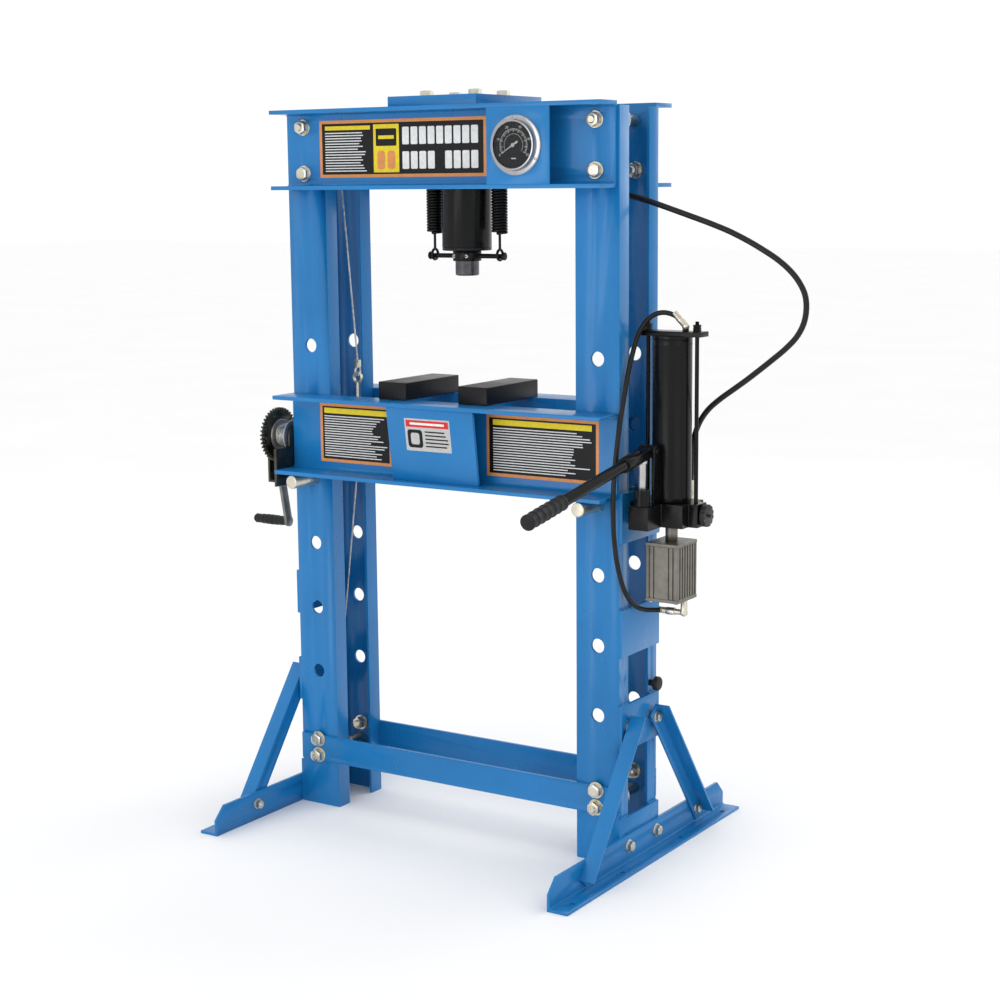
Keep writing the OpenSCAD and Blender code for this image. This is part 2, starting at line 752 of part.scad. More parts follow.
module winch_drum() {
    flange_w = 4;
    color("#b9bcc0") translate([0, winch_y, winch_z]) {
        translate([frame_out - 8, 0, 0]) along_x() cylinder(h = frame_in - frame_out + 13, r = shaft_r);
        translate([gear_x + gear_face + 1, 0, 0]) along_x() cylinder(h = flange_w, r = drum_flange_r);
        translate([frame_in - 1 - flange_w, 0, 0]) along_x() cylinder(h = flange_w, r = drum_flange_r);
        translate([gear_x + gear_face + 1, 0, 0]) along_x()
            cylinder(h = frame_in - gear_x - gear_face - 2, r = drum_r);
    }
}

// Half the angle of a tooth at radius r, in degrees, on a gear of the given pitch radius
function involute(a) = tan(a) * 180 / PI - a;
function tooth_half(r, pitch_r, teeth) =
    let (base = pitch_r * cos(20), backlash = 0.35)
    (90 / teeth - backlash / pitch_r * 180 / PI / 2) + involute(20)
        - involute(acos(min(1, base / max(r, base))));

// Toothed outline: involute flanks drawn with straight chords
module gear_outline(teeth, tip_r, root_r) {
    pitch_r = gear_m * teeth / 2;
    base = pitch_r * cos(20);
    low = max(base, root_r);
    flank = [for (i = [0 : 4]) low + (tip_r - low) * i / 4];
    step = 360 / teeth;
    polygon([for (k = [0 : teeth - 1]) let (c = k * step) each concat(
        [polar(root_r, c - tooth_half(low, pitch_r, teeth))],
        [for (r = flank) polar(r, c - tooth_half(r, pitch_r, teeth))],
        [for (i = [4 : -1 : 0]) polar(flank[i], c + tooth_half(flank[i], pitch_r, teeth))],
        [polar(root_r, c + tooth_half(low, pitch_r, teeth))])]);
}
function polar(r, a) = [r * cos(a), r * sin(a)];

// Stands an outline in the YZ plane, its own X axis along +Y, extruded along +X
module stand_x(x, y, z, h) {
    translate([x, y, z]) rotate([90, 0, 90]) linear_extrude(h) children();
}

module winch_gear() {
    color("#3c3f42") difference() {
        stand_x(gear_x, winch_y, winch_z, gear_face) rotate(pinion_angle) difference() {
            gear_outline(gear_teeth, gear_pitch_r + gear_m * 0.74, gear_pitch_r - 1.25 * gear_m);
            circle(r = shaft_r + run_gap);
            for (a = [36 : 72 : 324]) rotate(a) translate([54, 0]) circle(r = 4.5);
        }
    }
}

module winch_crank() {
    arm_x = frame_out - 17;
    half_tooth = 180 / pinion_teeth;
    color("#2b2d30") {
        stand_x(gear_x - 1, pinion_y, pinion_z, gear_face + 2)
            rotate(pinion_angle + 180 + half_tooth)
                gear_outline(pinion_teeth, pinion_pitch_r + gear_m, pinion_pitch_r - 1.25 * gear_m);
        translate([arm_x - 4, pinion_y, pinion_z]) along_x()
            cylinder(h = frame_in - arm_x + 9, r = shaft_r);
        translate([arm_x - 1, pinion_y, pinion_z]) along_x() cylinder(h = 10, r = 17);
        translate([arm_x, pinion_y, pinion_z]) rotate([crank_angle + 90, 0, 0])
            translate([0, -12, -crank_len]) cube([8, 24, crank_len]);
        translate([arm_x + 1, grip_y, grip_z]) along_x() cylinder(h = 8, r = 14);
        translate([arm_x - 108, grip_y, grip_z]) along_x() cylinder(h = 110, r = 6);
        translate([arm_x - 111, grip_y, grip_z]) along_x() cylinder(h = 4, r = 9);
    }
}

module crank_grip() {
    x1 = frame_out - 17.3;
    color(jet) translate([x1 - 106, grip_y, grip_z]) along_x() difference() {
        union() {
            cylinder(h = 106, r = grip_r - 2);
            for (i = [0 : 6]) translate([0, 0, 5 + i * 15]) cylinder(h = 8, r = grip_r);
        }
        translate([0, 0, -1]) cylinder(h = 110, r = 6 + run_gap);
    }
}

// ---- wire ropes and pulleys ----------------------------------------------------

module pulley(x, z) {
    rim = pulley_rim;
    floor_r = pulley_r - rope_r - seat_gap;
    half = pulley_w / 2;
    color("#9a9c9e") translate([x, 0, z]) rotate([90, 0, 0]) rotate_extrude()
        polygon([[bolt_d / 2 + run_gap, -half], [rim, -half], [rim, -half + 3],
            [floor_r, -rope_r - 1], [floor_r, rope_r + 1], [rim, half - 3], [rim, half],
            [bolt_d / 2 + run_gap, half]]);
}

// The same, drawn back a little at its first end
module free_rod(p, q) {
    rod_between(p + (q - p) / norm(q - p) * 0.4, q, rope_r);
}

// Angle at which a rope from point p, in the XZ plane, meets a pulley at c: side is -1 or 1
function meet_angle(p, c, side) =
    let (v = p - c) atan2(v[1], v[0]) + side * acos(pulley_r / norm(v));
function meet_point(p, c, side) =
    let (a = meet_angle(p, c, side)) c + pulley_r * [cos(a), sin(a)];
function in_plane(p) = [p[0], 0, p[1]];

top_left = [-hole_x, stud_z];
top_right = [hole_x, stud_z];
low_left = [-hole_x, low_stud_z];
low_right = [hole_x, low_stud_z];

// The stretches of rope that keep their length: over and round the pulleys
module frame_rope() {
    color("#a8aaac") {
        bent_rod(top_left, pulley_r, meet_angle(left_rope, top_left, 1), 180, rope_r);
        bent_rod(top_right, pulley_r, 0, 360 + meet_angle(right_rope, top_right, -1), rope_r);
        rod_between(in_plane(low_right + [pulley_r, seat_gap]),
            in_plane(top_right + [pulley_r, -seat_gap]), rope_r);
        bent_rod(low_right, pulley_r, -90, 0, rope_r);
        rod_between(in_plane(low_left + [seat_gap, -pulley_r]),
            in_plane(low_right - [seat_gap, pulley_r]), rope_r);
        bent_rod(low_left, pulley_r, meet_angle(low_rope, low_left, 1), 270, rope_r);
    }
}

// The stretches between the head and the bed, which shorten when the bed rises
module upper_ropes() {
    color("#a8aaac") {
        free_rod(in_plane(meet_point(left_rope, top_left, 1)), in_plane(left_rope));
        free_rod(in_plane(meet_point(right_rope, top_right, -1)), in_plane(right_rope));
        free_rod(in_plane(top_left - [pulley_r, 0]), rope_off);
    }
}

// The stretch below the bed, which lengthens when the bed rises
module lower_rope() {
    color("#a8aaac") free_rod(in_plane(meet_point(low_rope, low_left, 1)), in_plane(low_rope));
}

// ---- pump ----------------------------------------------------------------------

module pump_base() {
    color(jet) difference() {
        union() {
            translate([outer_plate, -55, pump_z]) cube([pump_x - outer_plate + 57, 110, base_h]);
            translate([pump_x + 40, -24, pump_z]) cube([41, 48, base_h]);
            translate([lever_x - 26, plunger_y - 20, pump_z]) cube([52, -plunger_y - 30, base_h]);
            translate([lever_x, plunger_y, base_top - 1]) cylinder(h = 40, r = 19);
        }
        translate([lever_x, plunger_y, pump_z + 12]) cylinder(h = 100, r = plunger_r + run_gap);
        for (x = [-rod_x, rod_x]) translate([pump_x + x, 0, base_top - rod_sunk])
            cylinder(h = 40, r = rod_r + run_gap);
        translate([knob_x - 30, 0, knob_z]) along_x() cylinder(h = 40, r = 6 + run_gap);
        translate([pump_x, 0, pump_z - 1]) cylinder(h = 20, r = 12);
    }
}

module pump_reservoir() {
    color(jet) translate([pump_x, 0, base_top]) difference() {
        cylinder(h = tank_len, d = tank_d);
        translate([0, 0, -1]) cylinder(h = tank_len + 2, d = tank_d - 8);
    }
}

module pump_top_bar() {
    color(jet) difference() {
        union() {
            translate([pump_x, 0, tank_top]) cylinder(h = cap_disc_t, d = tank_d);
            translate([pump_x - 84, -22, tank_top + cap_disc_t]) cube([168, 44, bar_t]);
        }
        for (x = [-rod_x, rod_x]) translate([pump_x + x, 0, tank_top - 1])
            cylinder(h = 30, r = rod_r + bolt_gap);
    }
}

module pump_tie_rods() {
    color(jet) for (x = [-rod_x, rod_x]) translate([pump_x + x, 0, 0]) {
        translate([0, 0, base_top - rod_sunk])
            cylinder(h = bar_top - base_top + rod_sunk + 24, r = rod_r);
        translate([0, 0, bar_top]) hexagon(17, 9);
        translate([0, 0, bar_top + 9]) hexagon(17, 8);
    }
}

// Two cheeks that carry the pivot pin of the handle
module handle_bracket() {
    gap = lever_w / 2 + seat_gap;
    color(jet) {
        for (side = [-1, 1]) translate([lever_x + (side > 0 ? gap : -gap - cheek_t), 0, 0]) {
            translate([0, pivot_y - 15, base_top]) cube([cheek_t, 30, pivot_z - base_top]);
            translate([0, pivot_y, pivot_z]) along_x() cylinder(h = cheek_t, r = 15);
        }
        translate([lever_x - gap - cheek_t - 4, pivot_y, pivot_z]) along_x()
            cylinder(h = 2 * (gap + cheek_t + 4), r = 7);
    }
}

module at_lever() {
    translate([lever_x, pivot_y, pivot_z]) rotate([handle_dip, 0, 0]) children();
}

// Lever and bar: the bar is pressed into the socket of the lever
module pump_handle() {
    color(jet) at_lever() difference() {
        union() {
            translate([-lever_w / 2, 0, 0]) along_x() cylinder(h = lever_w, r = 15);
            translate([-lever_w / 2, -75, -lever_half]) cube([lever_w, 75, 2 * lever_half]);
            translate([0, -58, 0]) rotate([90, 0, 0]) cylinder(h = 66, r = 18);
            translate([0, -70, 0]) rotate([90, 0, 0]) cylinder(h = handle_len - 75, r = tube_r);
        }
        translate([-lever_w, 0, 0]) along_x() cylinder(h = 2 * lever_w, r = 7 + run_gap);
    }
}

module handle_grip() {
    color("#24262a") at_lever() translate([0, -handle_len, 0]) rotate([-90, 0, 0]) difference() {
        union() {
            cylinder(h = 6, r1 = 13, r2 = 18);
            translate([0, 0, 6]) cylinder(h = grip_len - 6, r = 17);
            for (i = [0 : 6]) translate([0, 0, 10 + i * 20]) cylinder(h = 12, r = 18.5);
        }
        translate([0, 0, 5]) cylinder(h = grip_len, r = tube_r + run_gap);
    }
}

module pump_plunger() {
    color("#c8cacc") translate([lever_x, plunger_y, 0]) {
        translate([0, 0, pump_z + 34]) cylinder(h = plunger_top - 8 - pump_z - 34, r = plunger_r);
        translate([0, 0, plunger_top - 8]) cylinder(h = 8, r = plunger_head_r);
    }
}

module release_knob() {
    color("#1d1f22") translate([knob_x - 26, 0, knob_z]) along_x() {
        cylinder(h = 30, r = 6);
        translate([0, 0, 26 + seat_gap]) cylinder(h = 6, r1 = 14, r2 = 26);
        translate([0, 0, 32 + seat_gap]) difference() {
            cylinder(h = 12, r = 27);
            for (a = [0 : 30 : 330]) rotate(a) translate([28.5, 0, -1]) cylinder(h = 14, r = 4);
        }
        translate([0, 0, 44]) cylinder(h = 7, r = 4);
    }
}

// Air motor: a finned square block on a round neck under the pump base
module air_motor() {
    flute = 6;
    plain_end = 9;
    flute_h = motor[2] - 2 * plain_end;
    color("#8f8b82") {
        translate([pump_x, 0, motor_z + motor[2]]) cylinder(h = pump_z - motor_z - motor[2], r = 15);
        difference() {
            translate([pump_x - motor[0] / 2, -motor[1] / 2, motor_z]) cube(motor);
            translate([pump_x, 0, motor_z + plain_end]) for (side = [-1, 1]) {
                for (x = [-32, -20, 20, 32])
                    translate([x - flute / 2, side * motor[1] / 2 - 3, 0]) cube([flute, 6, flute_h]);
                for (y = [-39, -26, -13, 0, 13, 26, 39])
                    translate([side * motor[0] / 2 - 3, y - flute / 2, 0]) cube([6, flute, flute_h]);
            }
        }
    }
}

// Elbows and ferrules at the four ends of the hoses
module hose_fittings() {
    air_low = air_route[0];
    air_top = air_route[len(air_route) - 1];
    oil_low = oil_route[0];
    oil_top = oil_route[len(oil_route) - 1];
    color(zinc) {
        translate([air_low[0] + 46, 0, air_low[2]]) cylinder(h = motor_z - air_low[2], r = 8.5);
        translate([air_low[0] + 46, 0, air_low[2]]) sphere(r = 10);
        translate([air_low[0], 0, air_low[2]]) along_x() cylinder(h = 22, r = 9.5);
        translate([air_low[0] + 22, 0, air_low[2]]) along_x() cylinder(h = 24, r = 7);
        translate([air_top[0] + 14, 0, bar_top]) cylinder(h = air_top[2] - 14 - bar_top, r = 8);
        translate([air_top[0] + 14, 0, air_top[2] - 14]) sphere(r = 9.5);
        translate(air_top) rotate([0, 135, 0]) cylinder(h = 20, r = 8);
        translate([oil_low[0], 55, oil_low[2] - 45]) along_y() cylinder(h = oil_low[1] - 55, r = 8);
        translate([oil_low[0], oil_low[1], oil_low[2] - 45]) sphere(r = 11);
        translate([oil_low[0], oil_low[1], oil_low[2] - 45]) cylinder(h = 45, r = 9.5);
        translate([barrel_d / 2 - 4, 0, oil_port_z]) along_x()
            cylinder(h = oil_top[0] - barrel_d / 2 + 4, r = 4.9);
        translate([barrel_d / 2 + 1, 0, oil_port_z]) along_x() hexagon(19, 12);
        translate([barrel_d / 2 + 13, 0, oil_port_z]) along_x()
            cylinder(h = oil_top[0] - barrel_d / 2 - 13, r = 9.5);
    }
}

// Round tube along a route: one ring of points at each point of the route
function unit(v) = v / norm(v);
function route_dir(p, i) = unit(p[min(i + 1, len(p) - 1)] - p[max(i - 1, 0)]);
function ring_side(d) = unit(cross(d, abs(d[1]) < 0.9 ? [0, 1, 0] : [1, 0, 0]));

module hose(route, d) {
    sides = 10;
    n = len(route);
    rings = [for (i = [0 : n - 1]) let (
            dir = i == 0 ? unit(route[1] - route[0]) : route_dir(route, i),
            s = ring_side(dir), t = cross(dir, s))
        each [for (k = [0 : sides - 1]) let (a = 360 * k / sides)
            route[i] + d / 2 * (cos(a) * s + sin(a) * t)]];
    walls = [for (i = [0 : n - 2], k = [0 : sides - 1]) let (
            a = i * sides + k, b = i * sides + (k + 1) % sides)
        each [[a, b, b + sides], [a, b + sides, a + sides]]];
    ends = [[for (k = [sides - 1 : -1 : 0]) k], [for (k = [0 : sides - 1]) (n - 1) * sides + k]];
    polyhedron(rings, concat(walls, ends));
}

module air_hose() {
    color("#1c1d1f") hose(air_route, air_hose_d);
}

module hydraulic_hose() {
    color("#1a1a1c") hose(oil_route, oil_hose_d);
}

head_channel(-1);  // head_channel_front
head_channel(1);  // head_channel_rear
cylinder_top_plate();
gauge_panel();
gauge_case();
gauge_dial();
gauge_lens();
gauge_needle();
post(-1, -1);  // post_front_left
post(1, -1);  // post_front_right
post(-1, 1);  // post_rear_left
post(1, 1);  // post_rear_right
frame_bolts();
pulley_studs();
side_plates();
crossbars();
feet();
foot_braces();
foot_bolts();
cylinder_barrel();
cylinder_cap();
cylinder_gland();
ram();
spring_bar();
return_springs();
bed_channel(-1);  // bed_channel_front
bed_channel(1);  // bed_channel_rear
bed_plates();
bed_spacers();
rope_eyes();
bed_pin(-1);  // bed_pin_left
bed_pin(1);  // bed_pin_right
arbor_plate(arbor_x[0]);  // arbor_plate_left
arbor_plate(arbor_x[1]);  // arbor_plate_right
winch_frame();
winch_drum();
winch_gear();
winch_crank();
crank_grip();
pulley(top_left[0], top_left[1]);  // pulley_top_left
pulley(top_right[0], top_right[1]);  // pulley_top_right
pulley(low_left[0], low_left[1]);  // pulley_bottom_left
pulley(low_right[0], low_right[1]);  // pulley_bottom_right
frame_rope();
upper_ropes();
lower_rope();
pump_base();
pump_reservoir();
pump_top_bar();
pump_tie_rods();
handle_bracket();
pump_handle();
handle_grip();
pump_plunger();
release_knob();
air_motor();
hose_fittings();
storage_peg();
air_hose();
hydraulic_hose();
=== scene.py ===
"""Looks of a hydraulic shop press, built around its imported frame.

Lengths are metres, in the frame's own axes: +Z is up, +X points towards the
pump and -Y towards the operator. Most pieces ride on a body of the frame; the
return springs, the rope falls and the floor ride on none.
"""

from __future__ import annotations

import json
import logging
import math
from abc import ABC, abstractmethod
from dataclasses import dataclass
from enum import Enum
from typing import Any, ClassVar, Sequence

import bmesh
import bpy
from mathutils import Matrix, Vector

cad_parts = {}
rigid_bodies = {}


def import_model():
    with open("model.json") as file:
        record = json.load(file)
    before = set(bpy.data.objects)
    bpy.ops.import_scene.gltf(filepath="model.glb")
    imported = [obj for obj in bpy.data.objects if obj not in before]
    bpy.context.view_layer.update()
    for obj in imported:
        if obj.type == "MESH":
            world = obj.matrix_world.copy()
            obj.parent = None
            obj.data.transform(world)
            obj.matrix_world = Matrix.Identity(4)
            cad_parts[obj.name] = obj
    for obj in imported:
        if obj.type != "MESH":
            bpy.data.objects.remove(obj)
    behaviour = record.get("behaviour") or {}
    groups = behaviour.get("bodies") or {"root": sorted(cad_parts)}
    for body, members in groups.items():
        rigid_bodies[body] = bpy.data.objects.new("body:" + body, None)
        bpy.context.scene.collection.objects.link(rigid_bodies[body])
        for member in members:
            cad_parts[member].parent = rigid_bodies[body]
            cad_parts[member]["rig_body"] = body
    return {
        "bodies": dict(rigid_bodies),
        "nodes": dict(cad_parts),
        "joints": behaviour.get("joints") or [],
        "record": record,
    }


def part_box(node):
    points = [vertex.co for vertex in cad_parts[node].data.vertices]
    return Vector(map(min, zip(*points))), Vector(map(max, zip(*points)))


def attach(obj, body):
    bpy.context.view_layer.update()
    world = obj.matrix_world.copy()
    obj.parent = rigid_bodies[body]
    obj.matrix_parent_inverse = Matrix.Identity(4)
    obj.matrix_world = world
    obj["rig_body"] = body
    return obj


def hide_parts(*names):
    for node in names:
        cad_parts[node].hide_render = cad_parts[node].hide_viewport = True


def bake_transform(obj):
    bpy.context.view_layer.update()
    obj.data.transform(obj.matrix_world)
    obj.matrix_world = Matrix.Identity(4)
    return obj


LOG = logging.getLogger("shop_press")
FRAME: dict[str, Any] = {}

Colour = tuple[float, float, float]
Profile = Sequence[tuple[float, float]]


# ---- shader graph ------------------------------------------------------------


class Link:
    """An output socket that takes part in sums, differences and products."""

    def __init__(self, graph: Graph, socket: bpy.types.NodeSocket) -> None:
        """Wraps one output socket of a graph."""
        self.graph = graph
        self.socket = socket

    def _math(self, operation: str, left: Any, right: Any) -> Link:
        """Adds the Math node of one operation on two values or links."""
        return self.graph.node("ShaderNodeMath", {"operation": operation}, {0: left, 1: right})

    def __add__(self, other: Any) -> Link:
        """Sum of this and other."""
        return self._math("ADD", self, other)

    __radd__ = __add__

    def __sub__(self, other: Any) -> Link:
        """This less other."""
        return self._math("SUBTRACT", self, other)

    def __rsub__(self, other: Any) -> Link:
        """Other less this."""
        return self._math("SUBTRACT", other, self)

    def __mul__(self, other: Any) -> Link:
        """Product of this and other."""
        return self._math("MULTIPLY", self, other)

    __rmul__ = __mul__


class Graph:
    """The node tree of one material."""

    def __init__(self, name: str) -> None:
        """Starts an empty material of that name."""
        self.material = bpy.data.materials.new(name)
        self.material.use_nodes = True
        self.tree = self.material.node_tree
        self.tree.nodes.clear()

    def node(
        self,
        kind: str,
        settings: dict[str, Any] | None = None,
        inputs: dict[str | int, Any] | None = None,
        output: str | int = 0,
    ) -> Link:
        """Adds a node.

        Args:
            kind: The node's type name.
            settings: Its properties, which are set first.
            inputs: Values or links, by socket name or number.
            output: The socket to hand back.

        Returns:
            The chosen output.
        """
        made = self.tree.nodes.new(kind)
        for key, value in (settings or {}).items():
            setattr(made, key, value)
        for key, value in (inputs or {}).items():
            socket = made.inputs[key]
            if isinstance(value, Link):
                self.tree.links.new(value.socket, socket)
            elif socket.type == "RGBA" and len(value) == 3:
                socket.default_value = (*value, 1.0)
            else:
                socket.default_value = value
        return Link(self, made.outputs[output])

    def noise(self, scale: float, detail: float = 3.0, stretch: Colour = (1, 1, 1)) -> Link:
        """Smooth noise in the object's own metres.

        Args:
            scale: Lumps to the metre.
            detail: Octaves.
            stretch: Factor on each axis; a small one draws the noise out along it.

        Returns:
            A value around 0.5.
        """
        place = self.node("ShaderNodeTexCoord", output="Object")
        place = self.node("ShaderNodeMapping", inputs={"Vector": place, "Scale": stretch})
        return self.node("ShaderNodeTexNoise", inputs={"Vector": place, "Scale": scale, "Detail": detail})

    def spread(self, value: Link, low: float, high: float, start: float = 0.3, end: float = 0.7) -> Link:
        """Maps start..end of a value to low..high."""
        return self.node(
            "ShaderNodeMapRange",
            inputs={"Value": value, "From Min": start, "From Max": end, "To Min": low, "To Max": high},
        )

    def mix(self, share: Link | float, first: Any, second: Any) -> Link:
        """Colour between first and second."""
        return self.node(
            "ShaderNodeMix", {"data_type": "RGBA"}, {0: share, 6: first, 7: second}, output=2
        )

    def bump(self, height: Link, depth: float, strength: float = 1.0) -> Link:
        """Normal of a relief of that depth in metres."""
        return self.node(
            "ShaderNodeBump", inputs={"Height": height, "Distance": depth, "Strength": strength}
        )

    def surface(self, **sockets: Any) -> bpy.types.Material:
        """Ends the graph in a Principled surface.

        Args:
            sockets: Values or links by socket name, with underscores for spaces.

        Returns:
            The finished material.
        """
        named = {key.replace("_", " "): value for key, value in sockets.items()}
        shader = self.node("ShaderNodeBsdfPrincipled", inputs=named)
        self.node_output(shader)
        return self.material

    def node_output(self, shader: Link) -> None:
        """Feeds a shader to the material's output."""
        out = self.tree.nodes.new("ShaderNodeOutputMaterial")
        self.tree.links.new(shader.socket, out.inputs["Surface"])


# ---- finishes -----------------------------------------------------------------


@dataclass(frozen=True)
class Finish(ABC):
    """A finish: one material, made once and shared."""

    name: str
    slot: str
    _made: ClassVar[dict[str, bpy.types.Material]] = {}

    @abstractmethod
    def build(self, graph: Graph) -> bpy.types.Material:
        """Builds the material in an empty graph.

        Args:
            graph: The empty graph of the material.

        Returns:
            The finished material.
        """

    def material(self) -> bpy.types.Material:
        """The finish's material.

        Returns:
            The material, made on the first call.
        """
        if self.name not in self._made:
            self._made[self.name] = self.build(Graph(self.name))
        return self._made[self.name]


@dataclass(frozen=True)
class GlossPaint(Finish):
    """Sprayed enamel with a little orange peel and dust."""

    colour: Colour = (0.02, 0.19, 0.5)
    shade: float = 0.8
    sheen: float = 0.22
    peel: float = 0.00012
    coat: float = 0.12
    specular: float = 0.3

    def build(self, graph: Graph) -> bpy.types.Material:
        """Colour drifts slowly, dust dulls the gloss in patches, peel lifts the surface.

        Args:
            graph: The empty graph of the material.

        Returns:
            The finished material.
        """
        drift = graph.spread(graph.noise(3.5, 4.0), 0.0, 1.0)
        specks = graph.spread(graph.noise(420.0, 2.0), 0.0, 1.0, 0.66, 0.72)
        dark = tuple(c * self.shade for c in self.colour)
        light = tuple(min(1.0, c * 1.07 + 0.002) for c in self.colour)
        colour = graph.mix(specks * 0.25, graph.mix(drift, dark, light), light)
        dust = graph.noise(16.0, 6.0)
        rub = graph.spread(graph.noise(60.0, 5.0, (1.0, 1.0, 0.08)), 0.0, 0.08, 0.5, 0.75)
        rough = graph.spread(dust, self.sheen, self.sheen + 0.12) + rub
        peel = graph.noise(260.0, 2.0)
        return graph.surface(
            Base_Color=colour,
            Roughness=rough,
            Specular_IOR_Level=self.specular,
            Coat_Weight=self.coat,
            Coat_Roughness=0.08,
            Normal=graph.bump(peel, self.peel),
        )


@dataclass(frozen=True)
class Metal(Finish):
    """Bare or plated metal with drawn or mottled grain."""

    colour: Colour = (0.6, 0.6, 0.6)
    tint: Colour = (0.5, 0.5, 0.5)
    rough: tuple[float, float] = (0.25, 0.45)
    grain: Colour = (1.0, 1.0, 1.0)
    grain_scale: float = 160.0
    relief: float = 0.00005

    def build(self, graph: Graph) -> bpy.types.Material:
        """Tint clouds the colour; grain drives the roughness and the relief.

        Args:
            graph: The empty graph of the material.

        Returns:
            The finished material.
        """
        cloud = graph.spread(graph.noise(45.0, 4.0), 0.0, 1.0)
        grain = graph.noise(self.grain_scale, 5.0, self.grain)
        grime = graph.spread(graph.noise(9.0, 6.0), 0.0, 0.12, 0.5, 0.8)
        return graph.surface(
            Base_Color=graph.mix(cloud, self.colour, self.tint),
            Metallic=1.0,
            Roughness=graph.spread(grain, *self.rough) + grime,
            Normal=graph.bump(grain, self.relief),
        )


@dataclass(frozen=True)
class Rubber(Finish):
    """Moulded rubber or matt plastic with a fine pebble and pale rubbed patches."""

    colour: Colour = (0.008, 0.008, 0.009)
    rub: Colour = (0.022, 0.022, 0.023)
    rough: tuple[float, float] = (0.42, 0.62)
    pebble: float = 0.0001

    def build(self, graph: Graph) -> bpy.types.Material:
        """Pebble relief and rubbed patches.

        Args:
            graph: The empty graph of the material.

        Returns:
            The finished material.
        """
        worn = graph.spread(graph.noise(22.0, 6.0), 0.0, 0.6, 0.48, 0.72)
        pebble = graph.noise(900.0, 2.0)
        return graph.surface(
            Base_Color=graph.mix(worn, self.colour, self.rub),
            Specular_IOR_Level=0.25,
            Roughness=graph.spread(graph.noise(35.0, 5.0), *self.rough),
            Normal=graph.bump(pebble, self.pebble),
        )


@dataclass(frozen=True)
class StrandedWire(Finish):
    """Wire rope: bright strands with grey grease between them."""

    def build(self, graph: Graph) -> bpy.types.Material:
        """Grease lies in patches and dulls the wire.

        Args:
            graph: The empty graph of the material.

        Returns:
            The finished material.
        """
        grease = graph.spread(graph.noise(90.0, 4.0), 0.0, 1.0)
        wires = graph.noise(2200.0, 1.0)
        return graph.surface(
            Base_Color=graph.mix(grease, (0.62, 0.62, 0.62), (0.36, 0.36, 0.355)),
            Metallic=graph.spread(grease, 0.95, 0.7),
            Roughness=graph.spread(grease, 0.32, 0.6),
            Normal=graph.bump(wires, 0.0001),
        )


@dataclass(frozen=True)
class PrintedFilm(Finish):
    """One colour of a printed vinyl label."""

    colour: Colour = (0.01, 0.01, 0.01)

    def build(self, graph: Graph) -> bpy.types.Material:
        """Print is a touch uneven and the film slightly rippled.

        Args:
            graph: The empty graph of the material.

        Returns:
            The finished material.
        """
        ink = graph.spread(graph.noise(120.0, 3.0), 0.0, 1.0)
        deep = tuple(c * 0.86 for c in self.colour)
        return graph.surface(
            Base_Color=graph.mix(ink, self.colour, deep),
            Roughness=graph.spread(graph.noise(30.0, 3.0), 0.28, 0.4),
            Specular_IOR_Level=0.2,
            Normal=graph.bump(graph.noise(90.0, 2.0), 0.00004),
        )


@dataclass(frozen=True)
class ClearGlass(Finish):
    """Thin gauge glass with faint smears."""

    def build(self, graph: Graph) -> bpy.types.Material:
        """Mostly see-through, with a glossy skin.

        Args:
            graph: The empty graph of the material.

        Returns:
            The finished material.
        """
        smear = graph.spread(graph.noise(40.0, 4.0), 0.02, 0.12)
        return graph.surface(
            Base_Color=(0.03, 0.035, 0.04),
            Roughness=smear,
            Alpha=graph.spread(graph.noise(25.0, 3.0), 0.12, 0.2),
            IOR=1.45,
        )


@dataclass(frozen=True)
class StudioFloor(Finish):
    """Pale seamless floor."""

    def build(self, graph: Graph) -> bpy.types.Material:
        """Barely mottled white.

        Args:
            graph: The empty graph of the material.

        Returns:
            The finished material.
        """
        mottle = graph.spread(graph.noise(1.2, 3.0), 0.0, 1.0)
        return graph.surface(
            Base_Color=graph.mix(mottle, (0.93, 0.93, 0.93), (0.95, 0.95, 0.95)), Roughness=0.8
        )


BLUE = GlossPaint("press_blue", "press_blue", (0.006, 0.166, 0.435), 0.86, 0.26)
JET = GlossPaint("gloss_black", "gloss_black", (0.0030, 0.0032, 0.0033), 0.75, 0.2, 0.00006, 0.03, 0.16)
SATIN_BLACK = GlossPaint("satin_black", "gloss_black", (0.006, 0.006, 0.0065), 0.7, 0.34, 0.0002, 0.02, 0.2)
ZINC = Metal("zinc_plate", "zinc_plate", (0.66, 0.64, 0.58), (0.60, 0.55, 0.42), (0.24, 0.4))
GROUND = Metal(
    "ground_steel", "machined_steel", (0.55, 0.55, 0.56), (0.42, 0.42, 0.43), (0.2, 0.38),
    (1.0, 1.0, 6.0), 220.0,
)
DARK_STEEL = Metal(
    "dark_steel", "machined_steel", (0.12, 0.12, 0.125), (0.07, 0.07, 0.075), (0.22, 0.36),
    (1.0, 1.0, 5.0), 220.0,
)
WINCH_STEEL = Metal("winch_steel", "winch_steel", (0.09, 0.09, 0.075), (0.05, 0.05, 0.04), (0.3, 0.48))
CRANK_STEEL = Metal("crank_steel", "winch_steel", (0.26, 0.26, 0.25), (0.16, 0.16, 0.15), (0.3, 0.46))
DRUM_STEEL = Metal("drum_steel", "drum_steel", (0.5, 0.5, 0.5), (0.36, 0.35, 0.33), (0.3, 0.46))
ALLOY = Metal(
    "motor_alloy", "motor_alloy", (0.22, 0.21, 0.185), (0.17, 0.16, 0.14), (0.36, 0.5),
    (1.0, 1.0, 0.15), 300.0,
)
CHROME = Metal("gauge_chrome", "gauge_chrome", (0.42, 0.43, 0.45), (0.34, 0.35, 0.37), (0.1, 0.2))
ROPE_WIRE = StrandedWire("wire_rope", "wire_rope")
RUBBER = Rubber("black_rubber", "black_rubber")
HOSE_SKIN = Rubber(
    "hose_skin", "black_rubber", (0.007, 0.007, 0.008), (0.015, 0.015, 0.016), (0.3, 0.42), 0.00005
)
